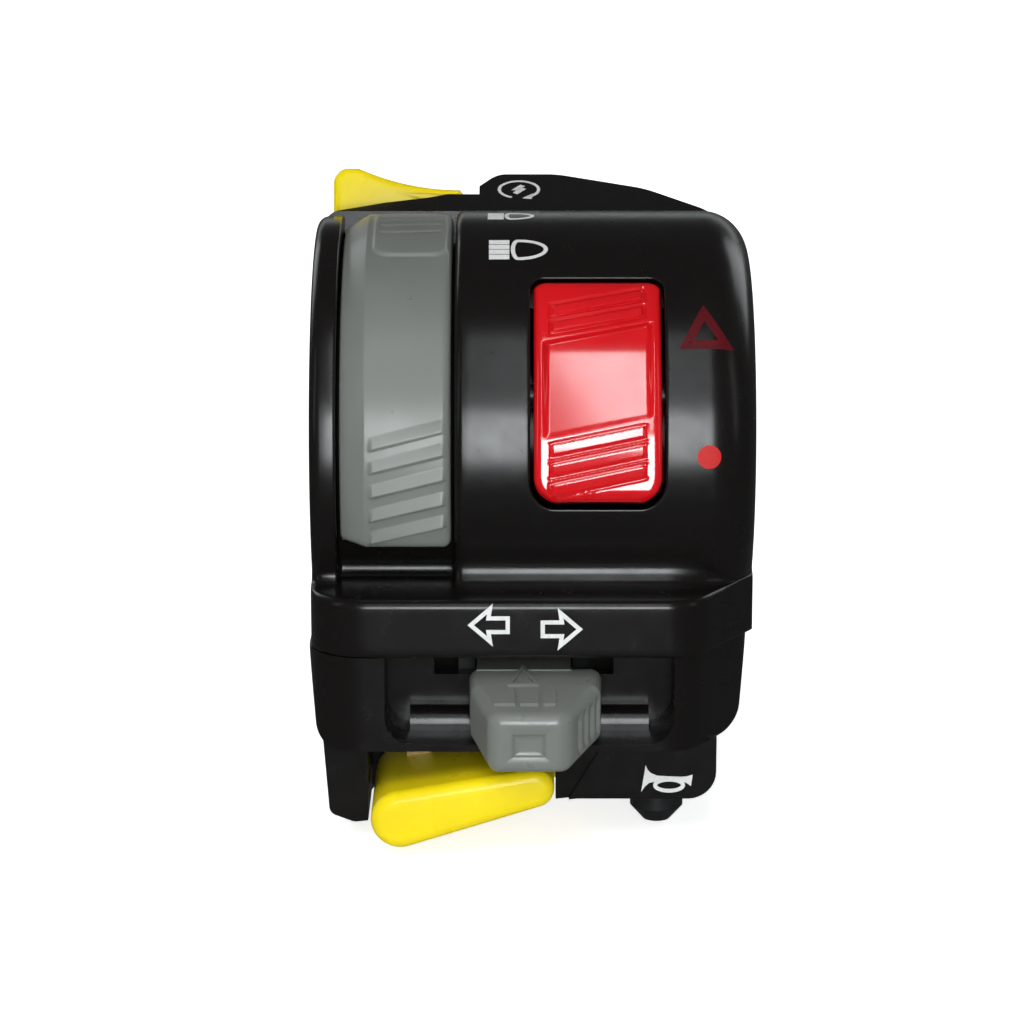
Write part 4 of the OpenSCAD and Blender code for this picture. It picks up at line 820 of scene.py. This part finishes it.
class CLUSTER_OT_kill_rocker(bpy.types.Operator):
    """Red kill rocker with its arched face, dished middle and outlined grip bars"""

    bl_idname = "cluster.kill_rocker"
    bl_label = "Kill rocker"

    def execute(self, context):
        face_h, face_r, under, round_r = 4.8, 30.0, 1.2, 0.9
        low_r, top_r = 2.4, 1.2
        z = end_steps(-KILL_L, KILL_L, round_r, 0.09, 8)
        wide = KILL_W - quarter(low_r - KILL_L - z, low_r) - quarter(z - KILL_L + top_r, top_r)
        high = face_h - quarter(np.abs(z), face_r) - end_round(z, -KILL_L, KILL_L, round_r)
        low = np.full_like(z, under)
        corners = np.array([[-wide, low], [-wide, high], [wide, high], [wide, low]]).transpose(2, 0, 1)
        radii = np.tile([0.15, 0.8, 0.8, 0.15], (len(z), 1))
        loops = fillet_loops(corners, radii, 7, (3, 64, 3, 10))
        x, h = loops[..., 0], loops[..., 1]
        zz = z[:, None] + np.zeros_like(x)
        face = smooth_step(h - high[:, None], -0.3, -0.02)
        cap = section(x, -h - face * self.relief(x, zz) + 1j * zz)
        web_z = np.array([-4.0, -3.9, 3.9, 4.0])
        web = rounded_box((-5.2, 5.2), (-4.7, 2.4), 0.2, len(web_z))
        web = section(web[..., 0], -web[..., 1] + 1j * web_z[:, None])
        grids = [from_kill(capped(cap)), from_kill(capped(web))]
        shaped("kill_rocker_cap", grids, "kill", "control_red", "kill_rocker")
        return {"FINISHED"}

    def relief(self, x, z):
        """Height on the face: slanted bars in grooves near both ends, and a dish that deepens upwards."""
        bar_h, groove_h, bar_w, groove_w, soft = 0.34, 0.2, 1.1, 1.75, 0.14
        dish_low, dish_top = -4.9, 5.8
        lean = z - 0.2 * x
        span = 4.75 - np.abs(x)
        up = [lean - mid for mid in (-10.1, -8.1, -6.1, 7.2, 9.2)]
        wedges = [1.0 + slope * np.clip(d, -0.6, 0.6) for d, slope in zip(up, (0.55, 0.55, 0.55, 0.0, 0.0))]
        bars = np.max([wedge * ridge(d, bar_w, soft) for d, wedge in zip(up, wedges)], axis=0)
        bars = bars * smooth_step(span, -0.12, 0.12)
        grooves = np.max([ridge(d, groove_w, soft) for d in up], axis=0) * smooth_step(span, -0.45, -0.2)
        dish = smooth_step(lean, dish_low, dish_low + 0.7) * smooth_step(-lean, -dish_top, -dish_top + 0.35)
        dish = dish * smooth_step(KILL_W - np.abs(x), 0.9, 1.5)
        return bar_h * bars - groove_h * grooves - (0.10 + 0.045 * (lean - dish_low)) * dish


def knob_rail(y, values):
    """A side of the knob at depth y, straight between its root, middle and tip."""
    return np.interp(-y, -KNOB_STOPS, values)


class CLUSTER_OT_turn_knob(bpy.types.Operator):
    """Grey thumb knob of the turn switch, ribbed on its inboard slope, with raised marks on its top"""

    bl_idname = "cluster.turn_knob"
    bl_label = "Turn knob"

    def execute(self, context):
        root, tip, round_r = KNOB_STOPS[0], KNOB_STOPS[-1], 1.0
        groove_w, groove_h = 0.42, 0.3
        y = -np.unique(np.concatenate([-KNOB_STOPS, end_steps(-root, -tip, round_r, 0.09, 10)]))
        left, right, low, top = (knob_rail(y, side) for side in (KNOB_LEFT, KNOB_RIGHT, KNOB_LOW, KNOB_TOP))
        corners = np.array([[left, low], [left, top], [right, top], [right, low]]).transpose(2, 0, 1)
        radii = np.tile([1.1, 1.2, 1.2, 1.1], (len(y), 1))
        loops = fillet_loops(corners, radii, 8, (10, 16, 10, 16))
        loops = inset_loops(loops, end_round(-y, -root, -tip, round_r))
        x, z = loops[..., 0], loops[..., 1]
        side = smooth_step(x - right[:, None], -0.6, -0.1)
        places = (-28.9, -30.0, -31.1, -32.2)
        grooves = np.max([ridge(y[:, None] - at, groove_w, 0.2) for at in places], axis=0)
        mid_z, span = (low + top)[:, None] / 2, (top - low)[:, None] / 2
        mask = 1.0 - smooth_step(np.abs(z - mid_z), span - 1.7, span - 1.2)
        loops = np.stack([x - groove_h * grooves * side * mask, z], -1)
        stem = along_y(rounded_box((-6.0, 4.0), (-22.27, -20.27), 0.15, 2), [-25.4, -14.45])
        grids = [self.front(along_y(loops, y)), capped(stem)]
        shaped("turn_knob_cap", grids, "knob", "control_grey", "turn_knob")
        shaped("knob_marks", self.marks(), "knob", "control_grey")
        return {"FINISHED"}

    def front(self, body):
        """The body's rows, then rings that close its front face over a shallow dish."""
        face = body[-1]
        mid = face.mean(axis=0)
        rings = [body]
        for share, drop in ((0.62, 0.0), (0.55, 0.06), (0.5, 0.26), (0.46, 0.32), (0.25, 0.32), (0.0, 0.32)):
            rings.append((mid + (face - mid) * share + np.array([0.0, drop, 0.0]))[None])
        back = np.repeat(body[:1].mean(axis=1, keepdims=True), body.shape[1], axis=1)
        return np.concatenate([back, *rings])

    def marks(self):
        """A raised triangle and three bars on the knob's top slope."""
        lift, line_w, bar_back, bar_front = 0.3, 0.32, -29.8, -32.4

        def on_top(x, y, up):
            return section(x, y + 1j * (knob_rail(y, KNOB_TOP) + up))

        path = refine([(-2.5, -28.7), (-1.1, -24.9), (0.3, -28.7)], 0.4, True)
        marks = [sign_grid(*stroke(path, line_w, True), on_top, lift, True)]
        for ends in ((-4.1, -1.9), (-1.4, 0.5), (1.0, 2.3)):
            rails = [np.array([[x, bar_back], [x, bar_front]]) for x in ends]
            marks.append(sign_grid(*rails, on_top, lift))
        return marks


class CLUSTER_OT_horn_paddle(bpy.types.Operator):
    """Yellow horn paddle with its hinge barrel"""

    bl_idname = "cluster.horn_paddle"
    bl_label = "Horn paddle"

    def execute(self, context):
        front, back, round_r = -30.2, -12.2, 1.2
        tip, tip_r = np.array([-14.0, -35.513]), 3.1
        end, end_r = np.array([0.1, -32.113]), 2.1
        hinge, hinge_r, hinge_front, edge = np.array([4.7, -31.813]), 2.2, -21.25, 0.25
        n = round_points(120)
        y = end_steps(front, back, round_r, 1.0, 9)
        on_tip = (n @ (tip - end) + tip_r - end_r > 0.0)[:, None]
        loop = np.where(on_tip, tip + tip_r * n, end + end_r * n)
        body = inset_loops(np.repeat(loop[None], len(y), axis=0), end_round(y, front, back, round_r))
        barrel_r = np.array([hinge_r - edge, hinge_r, hinge_r, hinge_r - edge])
        barrel = hinge + barrel_r[:, None, None] * n
        barrel_y = [hinge_front, hinge_front + edge, back - edge, back]
        web = rounded_box((-1.0, hinge[0]), (-33.5, -30.92), 0.2, 2)
        lofts = ((body, y), (barrel, barrel_y), (web, [hinge_front, back]))
        grids = [capped(along_y(loops, places)) for loops, places in lofts]
        shaped("horn_paddle", grids, "horn", "control_yellow", "horn_button")
        return {"FINISHED"}


class CLUSTER_OT_starter_paddle(bpy.types.Operator):
    """Yellow starter paddle, hollowed along its top"""

    bl_idname = "cluster.starter_paddle"
    bl_label = "Starter paddle"

    def execute(self, context):
        front, back, round_r = 4.3, 15.7, 0.8
        hollow_x, hollow_z, hollow_r = -8.05, 54.8, 28.0
        tip_x, tip_z, tip_r = -20.6, 27.6, 1.6
        y = end_steps(front, back, round_r, 1.0)
        x = np.linspace(-19.4, hollow_x, 24)
        hollow = np.stack([x, hollow_z - np.sqrt(hollow_r ** 2 - (x - hollow_x) ** 2)], -1)
        tip = pairs(tip_x + 1j * tip_z + tip_r * np.exp(1j * np.linspace(np.pi, np.pi / 2, 9)))
        low = np.array([[-6.4, 24.5], [-3.2, 24.5], [-3.2, 20.0], [-20.6, 20.0], [-22.2, 20.6]])
        loop = np.concatenate([tip, hollow, low])
        loops = inset_loops(np.repeat(loop[None], len(y), axis=0), end_round(y, front, back, round_r))
        grids = [from_clamp(capped(along_y(loops, y)))]
        shaped("starter_paddle", grids, "starter", "control_yellow", "starter_button")
        return {"FINISHED"}


# Signs

def refine(points, step, closed=False):
    """A path with points added along its straight runs, no further apart than step, its corners kept."""
    p = plane(points)
    p = np.append(p, p[0]) if closed else p
    s = np.append(0.0, np.cumsum(np.abs(np.diff(p))))
    at = np.unique(np.append(s, np.linspace(0.0, s[-1], int(s[-1] / step) + 2)).round(6))
    out = pairs(np.interp(at, s, p))
    return out[:-1] if closed else out


def stroke(points, width, closed=False):
    """Two rails half a width either side of a path, mitred at its corners."""
    p = plane(points)
    ahead, back = np.roll(p, -1) - p, p - np.roll(p, 1)
    if not closed:
        ahead[-1], back[0] = back[-1], ahead[0]
    ahead, back = ahead / np.abs(ahead), back / np.abs(back)
    side = 1j * (ahead + back) / np.abs(ahead + back)
    off = side * width / 2 / np.maximum((side * ahead.conj()).imag, 0.3)
    if closed:
        p, off = np.append(p, p[0]), np.append(off, off[0])
    return pairs(p + off), pairs(p - off)


def sign_grid(a, b, place, lift, closed=False, across=3):
    """A band between two rails, laid on a surface by place(u, v, lift), with top, underside and edges."""
    sink = 0.08
    k = np.linspace(0.0, 1.0, across)[None, :, None]
    uv = a[:, None] * (1 - k) + b[:, None] * k
    top, low = (place(uv[..., 0], uv[..., 1], level) for level in (lift, -sink))
    band = np.concatenate([top, low[:, ::-1]], axis=1)
    return band if closed else capped(band)


def on_drum(x, s, lift):
    """A place on the drum: x along the bar, s round from the split's front."""
    return from_clamp(section(x, -(drum_radius(x) + lift) * np.exp(-1j * s / DRUM_R)))


def on_front(depth):
    """The place function of an upright front at a depth: x along the bar and z up."""
    return lambda x, z, lift: section(x, depth - lift + 1j * z)


def on_hump(x, u, lift):
    """A place on the rear shell's slope, u up from the split."""
    way = (HUMP_Y + 1j * HUMP_H) / math.hypot(HUMP_Y, HUMP_H)
    return from_clamp(section(x, 1j * DRUM_R + way * (u + 1j * lift)))


class CLUSTER_OT_signs(bpy.types.Operator):
    """Printed signs: starter, beams, hazard triangle, dot, turn arrows and horn"""

    bl_idname = "cluster.signs"
    bl_label = "Signs"

    line_w = 0.44

    def execute(self, context):
        self.lift = context.scene.cluster_sizes.print_t / MM
        self.starter()
        self.beam("low_beam_sign", -3.0, 72.6, 0.8)
        self.beam("high_beam_sign", -2.35, 51.2, 1.0)
        self.hazard()
        self.dot()
        self.arrow("turn_left_sign", (-4.6, -14.72), -1.0)
        self.arrow("turn_right_sign", (2.85, -15.16), 1.0)
        self.horn()
        return {"FINISHED"}

    def make(self, name, bands, ink):
        """One sign that rides on the housing."""
        piece = mesh_piece(name, bands, finish(ink))
        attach(piece, "housing")

    def starter(self):
        """An open ring with an arrowhead round a bolt."""
        mid, ring_r = np.array([-1.47, 5.7]), 2.2
        a = np.radians(np.linspace(-58.0, 248.0, 60))
        ring = mid + ring_r * np.stack([np.cos(a), np.sin(a)], -1)
        tip, head = mid + (0.35, -2.3), mid + (1.5, -1.55)
        arrow = np.array([head + (0.1, 0.5), tip]), np.array([head + (-0.1, -0.95), tip])
        bolt = mid + np.array([[0.42, 1.05], [-0.28, 0.08], [0.28, -0.02], [-0.42, -1.05]])
        rails = (stroke(ring, 0.36), arrow, stroke(refine(bolt, 0.3), 0.62))
        self.make("starter_sign", [sign_grid(*pair, on_hump, self.lift) for pair in rails], "white_print")

    def beam(self, name, x, angle, size):
        """A headlamp's outline and four bars of light."""
        s = math.radians(angle) * DRUM_R
        c = round_points(72)
        wide = np.where(c[:, 0] > 0.0, 2.95, 0.55) * size
        lamp = np.stack([x + 0.75 * size + wide * c[:, 0], s + 1.66 * size * c[:, 1]], -1)
        bands = [sign_grid(*stroke(lamp, self.line_w, True), on_drum, self.lift, True)]
        for i in range(4):
            v = s + (i - 1.5) * 0.92 * size
            bar = refine([(x - 2.35 * size, v), (x - 0.18 * size, v)], 0.5)
            bands.append(sign_grid(*stroke(bar, 0.78 * size), on_drum, self.lift))
        self.make(name, bands, "white_print")

    def hazard(self):
        """Three triangles, one in the other."""
        base, top = np.radians([19.0, 31.1]) * DRUM_R
        corners = np.array([[15.25, base], [20.9, base], [17.8, top]])
        mid = corners.mean(axis=0)
        bands = []
        for share, width in ((0.96, 0.2), (0.74, 0.62), (0.5, 0.2)):
            path = refine(mid + (corners - mid) * share, 0.3, True)
            bands.append(sign_grid(*stroke(path, width, True), on_drum, self.lift, True))
        self.make("hazard_sign", bands, "dark_red_print")

    def dot(self):
        """A full dot between two half circles."""
        x, s, r = 18.3, math.radians(-8.5) * DRUM_R, 1.24
        t = np.linspace(0.0, np.pi, 33)
        rails = [np.stack([x - r * np.cos(t), s + way * r * np.sin(t)], -1) for way in (1.0, -1.0)]
        self.make("stop_dot", [sign_grid(*rails, on_drum, self.lift, across=7)], "red_print")

    def arrow(self, name, mid, way):
        """An arrow's outline, pointing along X by way."""
        shape = np.array([(1.95, 0.0), (-0.05, 1.75), (0.1, 0.74), (-1.9, 0.74),
                          (-1.9, -0.74), (0.1, -0.74), (-0.05, -1.75)])
        path = np.array(mid) + shape * np.array([way, 1.0])
        band = sign_grid(*stroke(path, self.line_w, True), on_front(CHIN_Y), self.lift, True)
        self.make(name, [band], "white_print")

    def horn(self):
        """A bugle's body between two rails, and the ring of its tube just above it."""
        top = np.array([(11.98, -31.47), (12.19, -31.98), (12.55, -32.35), (13.19, -32.62), (14.37, -32.70),
                        (15.75, -32.75), (16.39, -32.71), (16.99, -32.51)])
        low = np.array([(11.51, -34.44), (11.92, -33.84), (12.34, -33.45), (13.09, -33.27), (14.37, -33.23),
                        (15.75, -33.25), (16.28, -33.41), (16.82, -33.80)])
        ring = np.array([14.49, -33.69]) + round_points(48) * (1.49, 0.615)
        ring_w, ring_up = 0.42, 0.015
        belly = on_front(BELLY_Y)
        bands = [sign_grid(top, low, belly, self.lift),
                 sign_grid(*stroke(ring, ring_w, True), belly, self.lift + ring_up, True)]
        self.make("horn_sign", bands, "white_print")


class CLUSTER_OT_works(bpy.types.Operator):
    """Finishes of the pins, springs, contacts, screws and grommet"""

    bl_idname = "cluster.works"
    bl_label = "Works and fasteners"

    def execute(self, context):
        for part in frame["record"]["subparts"]:
            node = frame["nodes"][part["node"]]
            for i in range(len(node.data.materials)):
                node.data.materials[i] = finish(part["material_slot"])
        return {"FINISHED"}


class CLUSTER_PT_panel(bpy.types.Panel):
    """Sidebar panel that lists the sizes, colours and pieces"""

    bl_idname = "CLUSTER_PT_panel"
    bl_label = "Switch Cluster"
    bl_space_type = "VIEW_3D"
    bl_region_type = "UI"
    bl_category = "Switch Cluster"

    def draw(self, context):
        for group in (context.scene.cluster_sizes, context.scene.cluster_colours):
            for key in group.__annotations__:
                self.layout.prop(group, key)
        for piece in PIECES:
            self.layout.operator(piece.bl_idname)


PIECES = (
    CLUSTER_OT_stage,
    CLUSTER_OT_works,
    CLUSTER_OT_front_shell,
    CLUSTER_OT_housings,
    CLUSTER_OT_light_rocker,
    CLUSTER_OT_kill_rocker,
    CLUSTER_OT_turn_knob,
    CLUSTER_OT_horn_paddle,
    CLUSTER_OT_starter_paddle,
    CLUSTER_OT_signs,
)
CLASSES = (ClusterSizes, ClusterColours, *PIECES, CLUSTER_PT_panel)


def register():
    for cls in CLASSES:
        bpy.utils.register_class(cls)
    bpy.types.Scene.cluster_sizes = PointerProperty(type=ClusterSizes)
    bpy.types.Scene.cluster_colours = PointerProperty(type=ClusterColours)


def unregister():
    del bpy.types.Scene.cluster_colours
    del bpy.types.Scene.cluster_sizes
    for cls in reversed(CLASSES):
        bpy.utils.unregister_class(cls)


def main():
    """Registers the add-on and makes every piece."""
    register()
    bpy.context.scene.view_settings.view_transform = "Standard"
    for piece in PIECES:
        space, name = piece.bl_idname.split(".")
        getattr(getattr(bpy.ops, space), name)()


if __name__ == "__main__":
    main()
